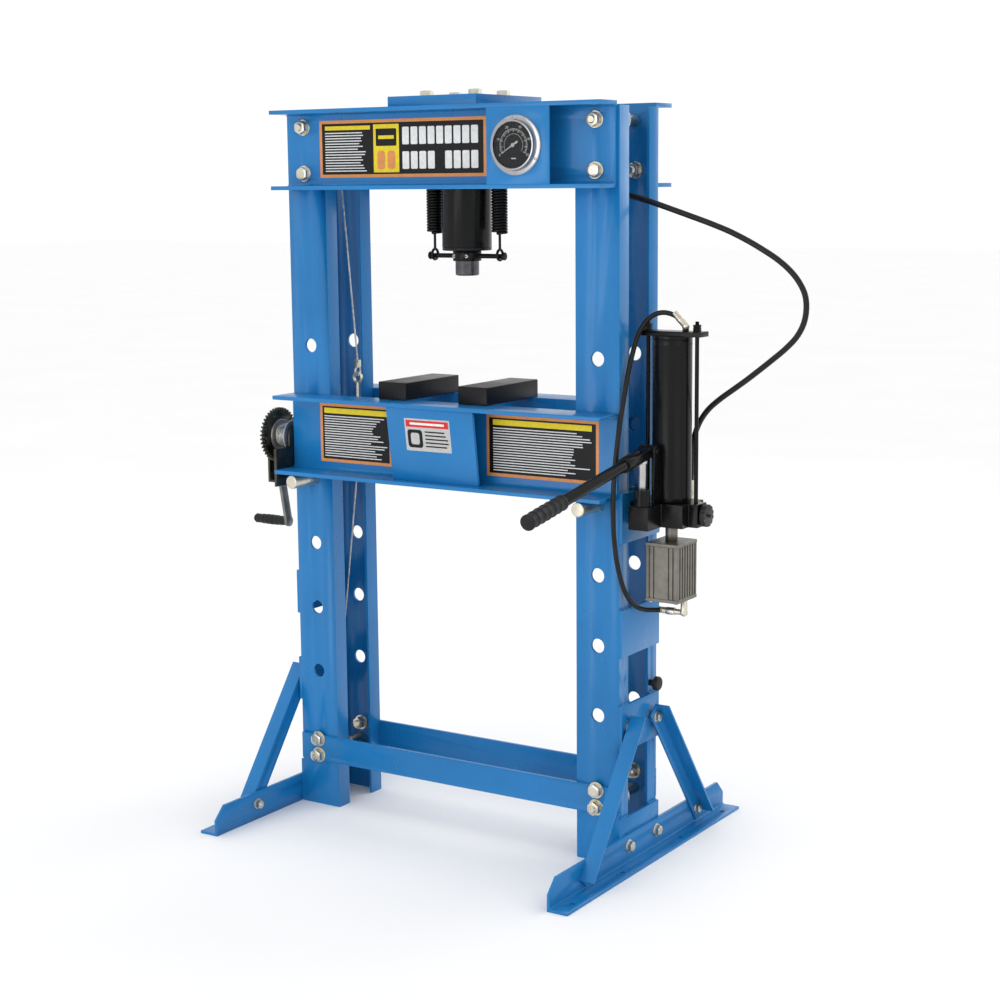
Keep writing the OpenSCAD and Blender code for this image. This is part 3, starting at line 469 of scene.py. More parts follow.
KNOB = Rubber("knob_plastic", "knob_plastic", (0.014, 0.014, 0.015), (0.03, 0.03, 0.03), (0.3, 0.42))
GLASS = ClearGlass("gauge_glass", "gauge_glass")
DIAL_BLACK = PrintedFilm("dial_black", "dial_black", (0.01, 0.01, 0.011))
DIAL_WHITE = PrintedFilm("dial_white", "needle_white", (0.85, 0.85, 0.82))
FLOOR = StudioFloor("studio_floor", "")


class Ink(Enum):
    """The colours that the labels are printed in."""

    BLACK = PrintedFilm("ink_black", "press_blue", (0.008, 0.008, 0.009))
    ORANGE = PrintedFilm("ink_orange", "press_blue", (0.75, 0.30, 0.10))
    YELLOW = PrintedFilm("ink_yellow", "press_blue", (0.85, 0.66, 0.03))
    WHITE = PrintedFilm("ink_white", "press_blue", (0.82, 0.82, 0.8))
    GREY = PrintedFilm("ink_grey", "press_blue", (0.5, 0.5, 0.5))
    RED = PrintedFilm("ink_red", "press_blue", (0.62, 0.03, 0.03))


# ---- mesh tools -----------------------------------------------------------------


@dataclass(frozen=True)
class Span:
    """An upright box: the reach of a node or of one loose part of it."""

    low: Vector
    high: Vector

    @classmethod
    def of(cls, node: str) -> Span:
        """The box of a frame node."""
        return cls(*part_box(node))

    @property
    def mid(self) -> Vector:
        """The box's middle."""
        return (self.low + self.high) / 2

    @property
    def size(self) -> Vector:
        """The box's edge lengths."""
        return self.high - self.low


def aim(place: Vector | Sequence[float], direction: Vector | Sequence[float]) -> Matrix:
    """Matrix that puts the origin at place and turns +Z to direction."""
    turn = Vector(direction).normalized().to_track_quat("Z", "Y")
    return Matrix.Translation(Vector(place)) @ turn.to_matrix().to_4x4()


def panel_place(origin: Vector, up: Vector) -> Matrix:
    """Matrix of a plate seen from the front: X to the right, Y along up, Z out of it.

    Args:
        origin: The plate's lower left corner or its middle.
        up: The way up along it.

    Returns:
        The matrix.
    """
    right = Vector((1.0, 0.0, 0.0))
    out = right.cross(up.normalized())
    turn = Matrix((right, up.normalized(), out)).transposed().to_4x4()
    return Matrix.Translation(origin) @ turn


class Form:
    """Points and faces of one piece, gathered step by step."""

    def __init__(self) -> None:
        """Starts with nothing in it."""
        self.points: list[Vector] = []
        self.faces: list[tuple[int, ...]] = []
        self.marks: list[int] = []
        self.mark = 0

    def add(self, points: Sequence[Vector], faces: Sequence[Sequence[int]]) -> None:
        """Adds points, and faces that count from the first of them.

        Args:
            points: The new points.
            faces: The new faces.
        """
        start = len(self.points)
        self.points += points
        self.faces += [tuple(start + i for i in face) for face in faces]
        self.marks += [self.mark] * len(faces)

    def skin(self, rings: Sequence[Sequence[Vector]]) -> Form:
        """Joins rings of equal length into a skin, and covers its two ends.

        Args:
            rings: The rings, one after the other.

        Returns:
            The form itself.
        """
        size, last = len(rings[0]), len(rings) - 1
        faces: list[Sequence[int]] = []
        for i in range(last):
            a, b = i * size, (i + 1) * size
            faces += [(a + k, a + (k + 1) % size, b + (k + 1) % size, b + k) for k in range(size)]
        faces += [tuple(range(size))[::-1], tuple(range(last * size, (last + 1) * size))]
        self.add([point for ring in rings for point in ring], faces)
        return self

    def lathe(self, profile: Profile, place: Matrix, steps: int = 48) -> Form:
        """Turns a profile of (radius, height) pairs about the local Z axis.

        Args:
            profile: The pairs, from one end to the other.
            place: Where the local axes are.
            steps: Points round each ring.

        Returns:
            The form itself.
        """
        ring = circle(1.0, steps)
        rings = [
            [place @ Vector((max(r, 1e-5) * c, max(r, 1e-5) * s, h)) for c, s in ring]
            for r, h in profile
        ]
        return self.skin(rings)

    def rod(self, radius: float, low: float, high: float, place: Matrix, steps: int = 24) -> Form:
        """Adds a plain round bar along the local Z axis.

        Args:
            radius: The bar's radius.
            low: Height of its lower end.
            high: Height of its upper end.
            place: Where the local axes are.
            steps: Points round it.

        Returns:
            The form itself.
        """
        return self.lathe([(0, low), (radius, low), (radius, high), (0, high)], place, steps)

    def hexagon(self, across: float, low: float, high: float, place: Matrix, both: bool = False) -> Form:
        """Adds a chamfered hexagon along the local Z axis.

        Args:
            across: Distance across the flats.
            low: Height of its inner face.
            high: Height of its outer face.
            place: Where the local axes are.
            both: Whether the inner face is chamfered too.

        Returns:
            The form itself.
        """
        steps = 36
        top = across / 2 * 0.96

        def ring(height: float, slope: float, inner: bool) -> list[Vector]:
            """One ring, pulled in to the chamfer circle or following its slope."""
            points = []
            for k in range(steps):
                a = math.tau * k / steps
                radius = across / 2 / math.cos((a + math.pi / 6) % (math.pi / 3) - math.pi / 6)
                drop = (radius - top) * 0.55 * slope
                radius = top if inner else radius
                points.append(place @ Vector((radius * math.cos(a), radius * math.sin(a), height - drop)))
            return points

        rings = [ring(high, 0.0, True), ring(high, 1.0, False)]
        rings += [ring(low, -1.0, False), ring(low, 0.0, True)] if both else [ring(low, 0.0, False)]
        return self.skin(rings[::-1])

    def prism(self, outline: Profile, low: float, high: float, place: Matrix) -> Form:
        """Extrudes an outline along the local Z axis."""
        return self.skin([[place @ Vector((x, y, z)) for x, y in outline] for z in (low, high)])

    def sweep(self, path: Sequence[Vector], outline: Profile, twist: float = 0.0) -> Form:
        """Carries an outline along a path without turning it more than the path does.

        Args:
            path: The points of the path.
            outline: The section, about the path.
            twist: Turns of the section for each metre of path.

        Returns:
            The form itself.
        """
        rings = []
        side = None
        travelled = 0.0
        for i, point in enumerate(path):
            ahead = (path[min(i + 1, len(path) - 1)] - path[max(i - 1, 0)]).normalized()
            if side is None:
                side = ahead.orthogonal().normalized()
            side = (side - ahead * side.dot(ahead)).normalized()
            up = ahead.cross(side)
            travelled += (point - path[max(i - 1, 0)]).length
            turn = math.tau * twist * travelled
            c, s = math.cos(turn), math.sin(turn)
            rings.append(
                [point + side * (x * c - y * s) + up * (x * s + y * c) for x, y in outline]
            )
        return self.skin(rings)

    def piece(self, name: str, body: str, *finishes: Finish, sharp: float = 35.0) -> bpy.types.Object:
        """Makes the object.

        Args:
            name: Its name.
            body: The body it rides on, or "" for one that rides on none.
            finishes: The finish of each mark, in order.
            sharp: Edges that turn by more than this many degrees stay sharp.

        Returns:
            The new object.
        """
        mesh = bpy.data.meshes.new(name)
        mesh.from_pydata(self.points, [], self.faces)
        mesh.polygons.foreach_set("material_index", self.marks)
        for finish in finishes:
            mesh.materials.append(finish.material())
        mesh.shade_smooth()
        mesh.set_sharp_from_angle(angle=math.radians(sharp))
        return settle(bpy.data.objects.new(name, mesh), body)


def settle(made: bpy.types.Object, body: str) -> bpy.types.Object:
    """Links a new object and lets it ride on a body.

    Args:
        made: The object.
        body: The body it rides on, or none.

    Returns:
        The same object.
    """
    bpy.context.scene.collection.objects.link(made)
    if body:
        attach(made, body)
    LOG.info("%s made, riding on %s", made.name, body or "its own rule")
    return made


def circle(radius: float, steps: int = 12) -> list[tuple[float, float]]:
    """Points of a circle."""
    return [
        (radius * math.cos(math.tau * k / steps), radius * math.sin(math.tau * k / steps))
        for k in range(steps)
    ]


def arc(centre: Vector, radius: float, start: float, end: float, steps: int = 24) -> list[Vector]:
    """Points of an arc in the XZ plane, angles in degrees from +X towards +Z."""
    angles = [math.radians(start + (end - start) * i / steps) for i in range(steps + 1)]
    return [centre + Vector((radius * math.cos(a), 0.0, radius * math.sin(a))) for a in angles]


def evenly(path: Sequence[Vector], step: float) -> list[Vector]:
    """The same path with points no further apart than step.

    Args:
        path: The points of the path.
        step: The greatest distance.

    Returns:
        The old points with new ones between them.
    """
    points = [path[0]]
    for a, b in zip(path, path[1:]):
        parts = max(1, math.ceil((b - a).length / step))
        points += [a.lerp(b, k / parts) for k in range(1, parts + 1)]
    return points


def rounded(path: Sequence[Vector], parts: int = 5) -> list[Vector]:
    """A smooth curve through the points of a path.

    Args:
        path: The points to pass through.
        parts: Pieces between two of them.

    Returns:
        The points of the curve.
    """
    points = [path[0] * 2 - path[1], *path, path[-1] * 2 - path[-2]]
    curve = []
    for p, q, r, s in zip(points, points[1:], points[2:], points[3:]):
        for k in range(parts):
            t = k / parts
            curve.append(
                (q * 2 + (r - p) * t + (p * 2 - q * 5 + r * 4 - s) * t**2
                 + (q * 3 - p - r * 3 + s) * t**3) / 2
            )
    return [*curve, path[-1].copy()]


def islands(node: str) -> list[Span]:
    """The boxes of a node's loose parts.

    Args:
        node: The node's name.

    Returns:
        A box for each part, sorted by its middle.
    """
    shape = bmesh.new()
    shape.from_mesh(FRAME["nodes"][node].data)
    bmesh.ops.remove_doubles(shape, verts=shape.verts, dist=1e-6)
    left = set(shape.verts)
    found = []
    while left:
        stack = [left.pop()]
        part = []
        while stack:
            vert = stack.pop()
            part.append(vert.co.copy())
            for edge in vert.link_edges:
                other = edge.other_vert(vert)
                if other in left:
                    left.remove(other)
                    stack.append(other)
        low = Vector([min(p[i] for p in part) for i in range(3)])
        high = Vector([max(p[i] for p in part) for i in range(3)])
        found.append(Span(low, high))
    shape.free()
    return sorted(found, key=lambda span: tuple(round(c, 3) for c in span.mid))


@dataclass(frozen=True)
class Softened:
    """A frame node drawn again with its edges eased and its inner corners filleted."""

    node: str
    finish: Finish
    edge: float = 0.0012
    fillet: float = 0.0
    segments: int = 2

    def build(self) -> bpy.types.Object:
        """Copies the node's mesh, cleans it, fillets it and replaces the node.

        Returns:
            The eased copy.
        """
        source = FRAME["nodes"][self.node]
        shape = bmesh.new()
        shape.from_mesh(source.data)
        bmesh.ops.remove_doubles(shape, verts=shape.verts, dist=1e-6)
        bmesh.ops.dissolve_limit(
            shape, angle_limit=math.radians(0.5), verts=shape.verts, edges=shape.edges
        )
        if self.fillet:
            inner = [e for e in shape.edges if self._is_inner_corner(e)]
            bmesh.ops.bevel(
                shape, geom=inner, offset=self.fillet, offset_type="OFFSET", segments=5,
                profile=0.5, affect="EDGES", clamp_overlap=True,
            )
        mesh = bpy.data.meshes.new(f"{self.node}_eased")
        shape.to_mesh(mesh)
        shape.free()
        mesh.materials.append(self.finish.material())
        mesh.shade_smooth()
        made = bpy.data.objects.new(f"{self.node}_eased", mesh)
        ease = made.modifiers.new("eased_edges", "BEVEL")
        ease.width = self.edge
        ease.segments = self.segments
        ease.limit_method = "ANGLE"
        ease.angle_limit = math.radians(32)
        ease.harden_normals = True
        ease.miter_outer = "MITER_ARC"
        settle(made, source["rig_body"])
        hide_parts(self.node)
        return made

    @staticmethod
    def _is_inner_corner(edge: bmesh.types.BMEdge) -> bool:
        """Whether two faces meet here in a hollow corner."""
        return len(edge.link_faces) == 2 and not edge.is_convex and edge.calc_face_angle(0.0) > 1.2


# ---- fasteners --------------------------------------------------------------------


@dataclass(frozen=True)
class Fastener:
    """Sizes of one thread: head, nut and washer."""

    thread: float
    washer: float

    @property
    def across(self) -> float:
        """Width across the flats of its head and nut."""
        return self.thread * 1.5

    @property
    def washer_t(self) -> float:
        """Thickness of its washer."""
        return self.thread * 0.15

    @property
    def head_h(self) -> float:
        """Height of its head."""
        return self.thread * 0.62

    @property
    def nut_h(self) -> float:
        """Height of its nut."""
        return self.thread * 0.8

    def add_washer(self, form: Form, place: Matrix) -> None:
        """Adds a pressed washer with a rounded rim on the local XY plane.

        Args:
            form: The form it is added to.
            place: The seat, with +Z out of it.
        """
        r, t = self.washer / 2, self.washer_t
        form.lathe([(0, 0), (r, 0), (r, t * 0.6), (r - t * 0.4, t), (0, t)], place)

    def add_head(self, form: Form, place: Matrix) -> None:
        """Adds a washer and a hexagon head.

        Args:
            form: The form it is added to.
            place: The seat, with +Z out of it.
        """
        self.add_washer(form, place)
        form.hexagon(self.across, self.washer_t, self.washer_t + self.head_h, place)
        disc = self.across * 0.36
        top = self.washer_t + self.head_h
        form.rod(disc, top - 0.0004, top + 0.0003, place)

    def add_nut(self, form: Form, place: Matrix, past: float) -> None:
        """Adds a washer, a nut and the threaded end that stands past it.

        Args:
            form: The form it is added to.
            place: The seat, with +Z out of it.
            past: How far the end stands out.
        """
        self.add_washer(form, place)
        form.hexagon(self.across, self.washer_t, self.washer_t + self.nut_h, place, both=True)
        self.add_thread(form, place, self.washer_t + self.nut_h * 0.7, self.washer_t + self.nut_h + past)

    def add_thread(self, form: Form, place: Matrix, low: float, high: float) -> None:
        """Adds a length of screw thread with a chamfered end.

        Args:
            form: The form it is added to.
            place: Where the local axes are.
            low: Height of its start.
            high: Height of its end.
        """
        r, pitch = self.thread / 2, self.thread * 0.11
        turns = max(1, int((high - low - pitch) / pitch))
        profile = [(0.0, low), (r * 0.9, low)]
        for i in range(turns):
            z = low + i * pitch
            profile += [(r * 0.98, z + pitch * 0.45), (r * 0.98, z + pitch * 0.55), (r * 0.88, z + pitch)]
        profile += [(r * 0.88, high - r * 0.12), (r * 0.76, high), (0.0, high)]
        form.lathe(profile, place, 28)


M20 = Fastener(0.020, 0.042)
M20_WIDE = Fastener(0.020, 0.036)
M16 = Fastener(0.016, 0.034)
M14 = Fastener(0.014, 0.028)
M10 = Fastener(0.0099, 0.020)


@dataclass(frozen=True)
class Fasteners:
    """All bolts, nuts, washers and studs of the frame."""

    past_bolt: float = 0.006
    past_stud: float = 0.005
    past_foot: float = 0.003
    plate_bolt_length: float = 0.049

    def build(self) -> None:
        """Builds the three groups."""
        self.frame_bolts()
        self.studs()
        self.foot_bolts()

    def frame_bolts(self) -> None:
        """Bolts of the head, crossbars and top plate."""
        form = Form()
        plate_top = Span.of("cylinder_top_plate").high.z
        for part in islands("frame_bolts"):
            if part.high.z > plate_top:
                place = aim((part.mid.x, part.mid.y, plate_top), (0, 0, 1))
                M20_WIDE.add_head(form, place)
                form.rod(M20_WIDE.thread / 2, -self.plate_bolt_length, 0, place)
                continue
            self._through_bolt(form, part, 1, M20, self.past_bolt)
        made = form.piece("frame_bolts_cut", "frame", ZINC)
        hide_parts("frame_bolts")

    def foot_bolts(self) -> None:
        """Bolts of the feet and braces, and the thick washers behind the braces."""
        form = Form()
        for part in islands("foot_bolts"):
            if part.size.x < 0.02:
                form.lathe(
                    [(0.008, 0), (0.0165, 0), (0.017, 0.0006), (0.017, 0.0064), (0.0165, 0.007),
                     (0.008, 0.007)],
                    aim((part.low.x, part.mid.y, part.mid.z), (1, 0, 0)),
                )
                continue
            size = M16 if part.size.z > 0.031 else M14
            self._through_bolt(form, part, 0, size, self.past_foot)
        made = form.piece("foot_bolts_cut", "frame", ZINC)
        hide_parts("foot_bolts")

    def _through_bolt(self, form: Form, part: Span, axis: int, size: Fastener, past: float) -> None:
        """Draws one bolt along an axis, its head on the side away from the middle.

        Args:
            form: The form it is added to.
            part: The bolt's box.
            axis: 0 for X or 1 for Y.
            size: Its thread.
            past: How far its end stands out.
        """
        out = 1 if part.mid[axis] > 0 else -1
        far, near = (part.high, part.low) if out > 0 else (part.low, part.high)
        direction = Vector((0, 0, 0))
        direction[axis] = out
        head, nut = part.mid.copy(), part.mid.copy()
        head[axis] = far[axis] - direction[axis] * (size.head_h + size.washer_t)
        nut[axis] = near[axis] + direction[axis] * (past + size.nut_h + size.washer_t)
        size.add_head(form, aim(head, direction))
        size.add_nut(form, aim(nut, -direction), past)
        form.rod(size.thread / 2, 0, (head - nut).length, aim(nut, direction))

    def studs(self) -> None:
        """Long studs that carry the pulleys, with their spacer tubes."""
        form = Form()
        for part in islands("pulley_studs"):
            if part.size.y < 0.2:
                place = aim((part.mid.x, part.low.y, part.mid.z), (0, 1, 0))
                length = part.size.y
                form.lathe(
                    [(0.0101, 0), (0.0142, 0), (0.015, 0.0008), (0.015, length - 0.0008),
                     (0.0142, length), (0.0101, length)],
                    place, 32,
                )
                continue
            reach = M20.washer_t + M20.nut_h + self.past_stud
            for out in (-1, 1):
                end = part.high.y if out > 0 else part.low.y
                seat = (part.mid.x, end - out * reach, part.mid.z)
                M20.add_nut(form, aim(seat, (0, out, 0)), self.past_stud)
            place = aim((part.mid.x, part.low.y + reach, part.mid.z), (0, 1, 0))
            form.rod(M20.thread / 2, 0, part.size.y - 2 * reach, place, 32)
        made = form.piece("pulley_studs_cut", "frame", ZINC)
        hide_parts("pulley_studs")


# ---- frame, bed and plates -----------------------------------------------------------


@dataclass(frozen=True)
class SteelFrame:
    """Posts, head, bed, plates, crossbars, feet and braces, with their welds."""

    root_fillet: float = 0.008
    bead: float = 0.0028
    fine_bead: float = 0.0016
    web_inside: float = 0.052

    def build(self) -> None:
        """Builds the painted steel."""
        for side in ("front", "rear"):
            Softened(f"head_channel_{side}", BLUE, 0.0014, self.root_fillet).build()
            Softened(f"bed_channel_{side}", BLUE, 0.0014, self.root_fillet).build()
            for hand in ("left", "right"):
                Softened(f"post_{side}_{hand}", BLUE, 0.0011, 0.004).build()
        for node in ("cylinder_top_plate", "side_plates", "crossbars", "bed_plates"):
            Softened(node, BLUE, 0.0012).build()
        for node in ("feet", "foot_braces", "bed_spacers"):
            Softened(node, BLUE, 0.0012, 0.003).build()
        Softened("gauge_panel", BLUE, 0.0007).build()
        self.welds()

    def welds(self) -> None:
        """Lays a bead along the top and bottom of each plate on the posts."""
        form = Form()
        for plate in islands("side_plates"):
            out = 1 if plate.mid.x > 0 else -1
            face = plate.low.x if out > 0 else plate.high.x
            for z in (plate.low.z, plate.high.z):
                if z < 0.01:
                    continue
                for hand in (-1, 1):
                    start = Vector((face + out * 0.001, hand * self.web_inside, z))
                    end = Vector((face + out * 0.001, hand * (plate.high.y - 0.002), z))
                    self.bead_along(form, start, end, self.bead)
        form.piece("plate_welds", "frame", BLUE, sharp=60)
        form = Form()
        for plate in islands("bed_plates"):
            front = plate.mid.y < 0
            for x in (plate.low.x, plate.high.x):
                top_y = (plate.low.y + 0.006) if front else (plate.high.y - 0.006)
                low_y = (plate.high.y - 0.003) if front else (plate.low.y + 0.003)
                start = Vector((x, top_y, plate.high.z - 0.004))
                end = Vector((x, low_y, plate.low.z + 0.004))
                self.bead_along(form, start, end, self.fine_bead)
        form.piece("bed_plate_welds", "bed", BLUE, sharp=60)

    def bead_along(self, form: Form, start: Vector, end: Vector, radius: float) -> None:
        """Draws one rippled weld bead between two points.

        Args:
            form: The form it is added to.
            start: Where it starts.
            end: Where it ends.
            radius: Half its width.
        """
        path = evenly([start, end], 0.0011)
        outline = circle(radius, 10)
        direction = (end - start).normalized()
        side = direction.orthogonal().normalized()
        up = direction.cross(side)
        rings = []
        for i, point in enumerate(path):
            taper = min(1.0, (min(i, len(path) - 1 - i) + 0.6) / 2.5)
            ripple = taper * (1.0 + 0.10 * math.cos(i * math.tau / 3.0))
            rings.append([point + (side * x + up * y) * ripple for x, y in outline])
        form.skin(rings)


# ---- cylinder, ram and springs ----------------------------------------------------------


@dataclass(frozen=True)
class PressCylinder:
    """Cylinder, ram, spring bar and the two return springs."""

    wire: float = 0.0035
    coil: float = 0.0175
    loop: float = 0.013

    def build(self) -> None:
        """Builds the hydraulic cylinder and what hangs on it."""
        Softened("cylinder_barrel", JET, 0.0015, 0.002).build()
        Softened("cylinder_cap", JET, 0.0012).build()
        Softened("cylinder_gland", SATIN_BLACK, 0.0012).build()
        Softened("ram", DARK_STEEL, 0.001).build()
        Softened("spring_bar", JET, 0.0012, 0.003).build()
        self.clamp_screws()
        self.springs()

    def clamp_screws(self) -> None:
        """Adds the two socket screws that pinch the collar on the ram."""
        collar = Span.of("spring_bar")
        form = Form()
        for x in (-0.018, 0.018):
            place = aim((x, -0.0302, collar.mid.z), (0, -1, 0))
            form.lathe(
                [(0, -0.004), (0.0048, -0.004), (0.0048, 0.0018), (0.0042, 0.0024), (0.0024, 0.0024),
                 (0.0022, -0.001), (0, -0.001)],
                place, 24,
            )
        form.piece("collar_screws", "ram", ZINC)

    def springs(self) -> None:
        """Winds the return springs, hooked on the lugs above and the bar below."""
        for name, part in zip(("left", "right"), islands("return_springs")):
            top = part.high.z - self.wire - self.loop
            low = part.low.z + self.wire + self.loop
            path = self.spring_path(part.mid.x, low, top)
            form = Form().sweep(path, circle(self.wire, 10))
            spring = form.piece(f"return_spring_{name}", "", JET, sharp=60)
            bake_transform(spring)
        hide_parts("return_springs")

    def spring_path(self, x: float, low: float, top: float) -> list[Vector]:
        """Centre line of a spring: loop, leg, coils, leg, loop.

        Args:
            x: The spring's place along X.
            low: Height of the lower loop's middle.
            top: Height of the upper loop's middle.

        Returns:
            The points of the line.
        """
        coil_low, coil_top = low + self.loop + 0.039, top - self.loop - 0.0095
        turns = int((coil_top - coil_low) / (2 * self.wire))
        start = [
            Vector((x, self.loop * math.sin(a), low + self.loop * math.cos(a)))
            for a in (math.radians(15 + 345 * k / 26) for k in range(27))
        ]
        helix = []
        for k in range(turns * 18 + 1):
            share = k / (turns * 18)
            a = math.tau * k / 18 + math.pi
            ease = min(1.0, k / 9, (turns * 18 - k) / 9)
            helix.append(
                Vector((x + self.coil * ease * math.cos(a), self.coil * ease * math.sin(a),
                        coil_low + (coil_top - coil_low) * share))
            )
        finish = [
            Vector((x, self.loop * math.sin(a), top - self.loop * math.cos(a)))
            for a in (math.radians(345 * k / 26) for k in range(27))
        ]
        return [*start, *evenly([start[-1], helix[0]], 0.004)[1:-1], *helix,
                *evenly([helix[-1], finish[0]], 0.004)[1:-1], *finish]


# ---- gauge ------------------------------------------------------------------------------


@dataclass(frozen=True)
class PressureGauge:
    """Flanged gauge on its panel: case, bezel, dial with its scale, needle and glass."""

    ticks: int = 50
    start: float = 211.0
    sweep: float = 242.0
    flange: float = 0.070
    bezel: float = 0.059
    bore: float = 0.054
    front: float = 0.018
    dial_front: float = 0.010
    scale: float = 0.0375
    inner_scale: float = 0.0255
    figure_circle: float = 0.0448
    figure_height: float = 0.0085
    screw_circle: float = 0.0645

    def build(self) -> None:
        """Builds the gauge on its panel."""
        self.case()
        self.dial()
        self.figures()
        self.needle()
        self.glass()

    @property
    def centre(self) -> Vector:
        """The dial's middle, on the face of the panel."""
        dial = Span.of("gauge_dial")
        return Vector((dial.mid.x, Span.of("gauge_panel").low.y, dial.mid.z))

    @property
    def axes(self) -> Matrix:
        """Dial axes: X to the right, Y up and Z from the panel to the operator."""
        return panel_place(self.centre, Vector((0, 0, 1)))

    def case(self) -> None:
        """Case, flange and rolled bezel in one turning, with three dome screws."""
        seat, r, out = self.dial_front - 0.0024, self.bezel, self.front
        profile = [
            (0, seat), (self.bore, seat), (self.bore, out - 0.0010), (self.bore + 0.0008, out),
            (r - 0.0018, out), (r - 0.0004, out - 0.0008), (r, out - 0.0024), (r, 0.0052),
            (r + 0.0006, 0.0038), (r + 0.0018, 0.0030), (self.flange - 0.0010, 0.0030),
            (self.flange, 0.0022), (self.flange, 0.0004), (self.flange - 0.0004, 0.0), (0.056, 0.0),
            (0.056, -0.027), (0.053, -0.030), (0, -0.030),
        ]
        form = Form().lathe(profile, self.axes, 96)
        form.hexagon(0.014, -0.044, -0.030, self.axes, both=True)
        for angle in (90, 210, 330):
            a = math.radians(angle)
            spot = (self.screw_circle * math.cos(a), self.screw_circle * math.sin(a), 0)
            form.lathe(
                [(0, 0.002), (0.003, 0.002), (0.003, 0.0036), (0.0022, 0.0046), (0, 0.0050)],
                self.axes @ Matrix.Translation(spot), 24,
            )
        made = form.piece("gauge_case_turned", "frame", CHROME)
        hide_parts("gauge_case")

    def dial(self) -> None:
        """Black dial with white strokes, longer at every fifth, inside two printed arcs."""
        form = Form()
        edge, face = self.bore - 0.0003, self.dial_front
        form.rod(edge, face - 0.002, face, self.axes, 64)
        form.mark = 1
        for i in range(self.ticks + 1):
            a = math.radians(self.start - self.sweep * i / self.ticks)
            length, half = (0.0070, 0.0007) if i % 5 == 0 else (0.0042, 0.00035)
            self.band(form, a - half / self.scale, a + half / self.scale, self.scale - length, self.scale)
        first, last = math.radians(self.start), math.radians(self.start - self.sweep)
        for radius in (self.scale, self.inner_scale):
            self.band(form, last, first, radius, radius + 0.0007)
        self.band(form, math.radians(258), math.radians(282), 0.030, 0.0325)
        made = form.piece("gauge_dial_printed", "frame", DIAL_BLACK, DIAL_WHITE)
        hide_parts("gauge_dial")

    def band(self, form: Form, low: float, high: float, inner: float, outer: float) -> None:
        """Prints a piece of a ring between two angles in radians.

        Args:
            form: The form it is added to.
            low: The lower angle.
            high: The higher angle.
            inner: Its inner radius.
            outer: Its outer radius.
        """
        steps = max(1, int(abs(high - low) / 0.06))
        angles = [low + (high - low) * k / steps for k in range(steps + 1)]
        rim = [(outer * math.cos(a), outer * math.sin(a)) for a in angles]
        rim += [(inner * math.cos(a), inner * math.sin(a)) for a in reversed(angles)]
        form.prism(rim, self.dial_front - 0.0001, self.dial_front + 0.0002, self.axes)

    def figures(self) -> None:
        """Numbers round the dial, one at every second long stroke."""
        for i in range(6):
            a = math.radians(self.start - self.sweep * i / 5)
            curve = bpy.data.curves.new(f"gauge_figure_{i}", "FONT")
            curve.body = str(i * 10)
            curve.size = self.figure_height
            curve.extrude = 0.0001
            curve.align_x = "CENTER"
            curve.align_y = "CENTER"
            curve.materials.append(DIAL_WHITE.material())
            made = bpy.data.objects.new(f"gauge_figure_{i}", curve)
            r = self.figure_circle
            spot = (r * math.cos(a), r * math.sin(a), self.dial_front + 0.0001)
            made.matrix_world = self.axes @ Matrix.Translation(spot)
            settle(made, "frame")

    def needle(self) -> None:
        """Tapered needle with a counterweight and a hub, at rest on the first stroke."""
        form = Form()
        outline = [(-0.044, 0.0), (-0.006, -0.0013), (0.005, -0.0012), (0.009, -0.0026), (0.015, -0.0022),
                   (0.016, 0.0), (0.015, 0.0022), (0.009, 0.0026), (0.005, 0.0012), (-0.006, 0.0013)]
        base = self.dial_front + 0.003
        turn = Matrix.Rotation(math.radians(self.start - 180), 4, "Z")
        form.prism(outline, base + 0.0002, base + 0.0008, self.axes @ turn)
        form.lathe(
            [(0, base - 0.0026), (0.0016, base - 0.0026), (0.0016, base + 0.0006), (0.0045, base + 0.0006),
             (0.0045, base + 0.0012), (0.0034, base + 0.0016), (0, base + 0.0016)],
            self.axes, 32,
        )
        made = form.piece("gauge_needle_cut", "gauge_needle", DIAL_WHITE)
        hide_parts("gauge_needle")

    def glass(self) -> None:
        """Slightly domed glass inside the bezel."""
        edge, low = self.bore - 0.0003, self.front - 0.003
        profile = [
            (0.0, low), (edge, low), (edge, low + 0.0014), (edge * 0.8, low + 0.0019),
            (0.0, low + 0.0022),
        ]
        made = Form().lathe(profile, self.axes, 64).piece("gauge_glass_dome", "frame", GLASS)
        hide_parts("gauge_lens")


# ---- ropes, pulleys and winch ----------------------------------------------------------------


def rope_outline(radius: float = 0.0025) -> list[tuple[float, float]]:
    """Section of a six-strand rope.

    Args:
        radius: The rope's radius.

    Returns:
        The points of the section.
    """
    points = []
    for k in range(18):
        a = math.tau * k / 18
        r = radius * (0.90 + 0.10 * math.cos(6 * a))
        points.append((r * math.cos(a), r * math.sin(a)))
    return points


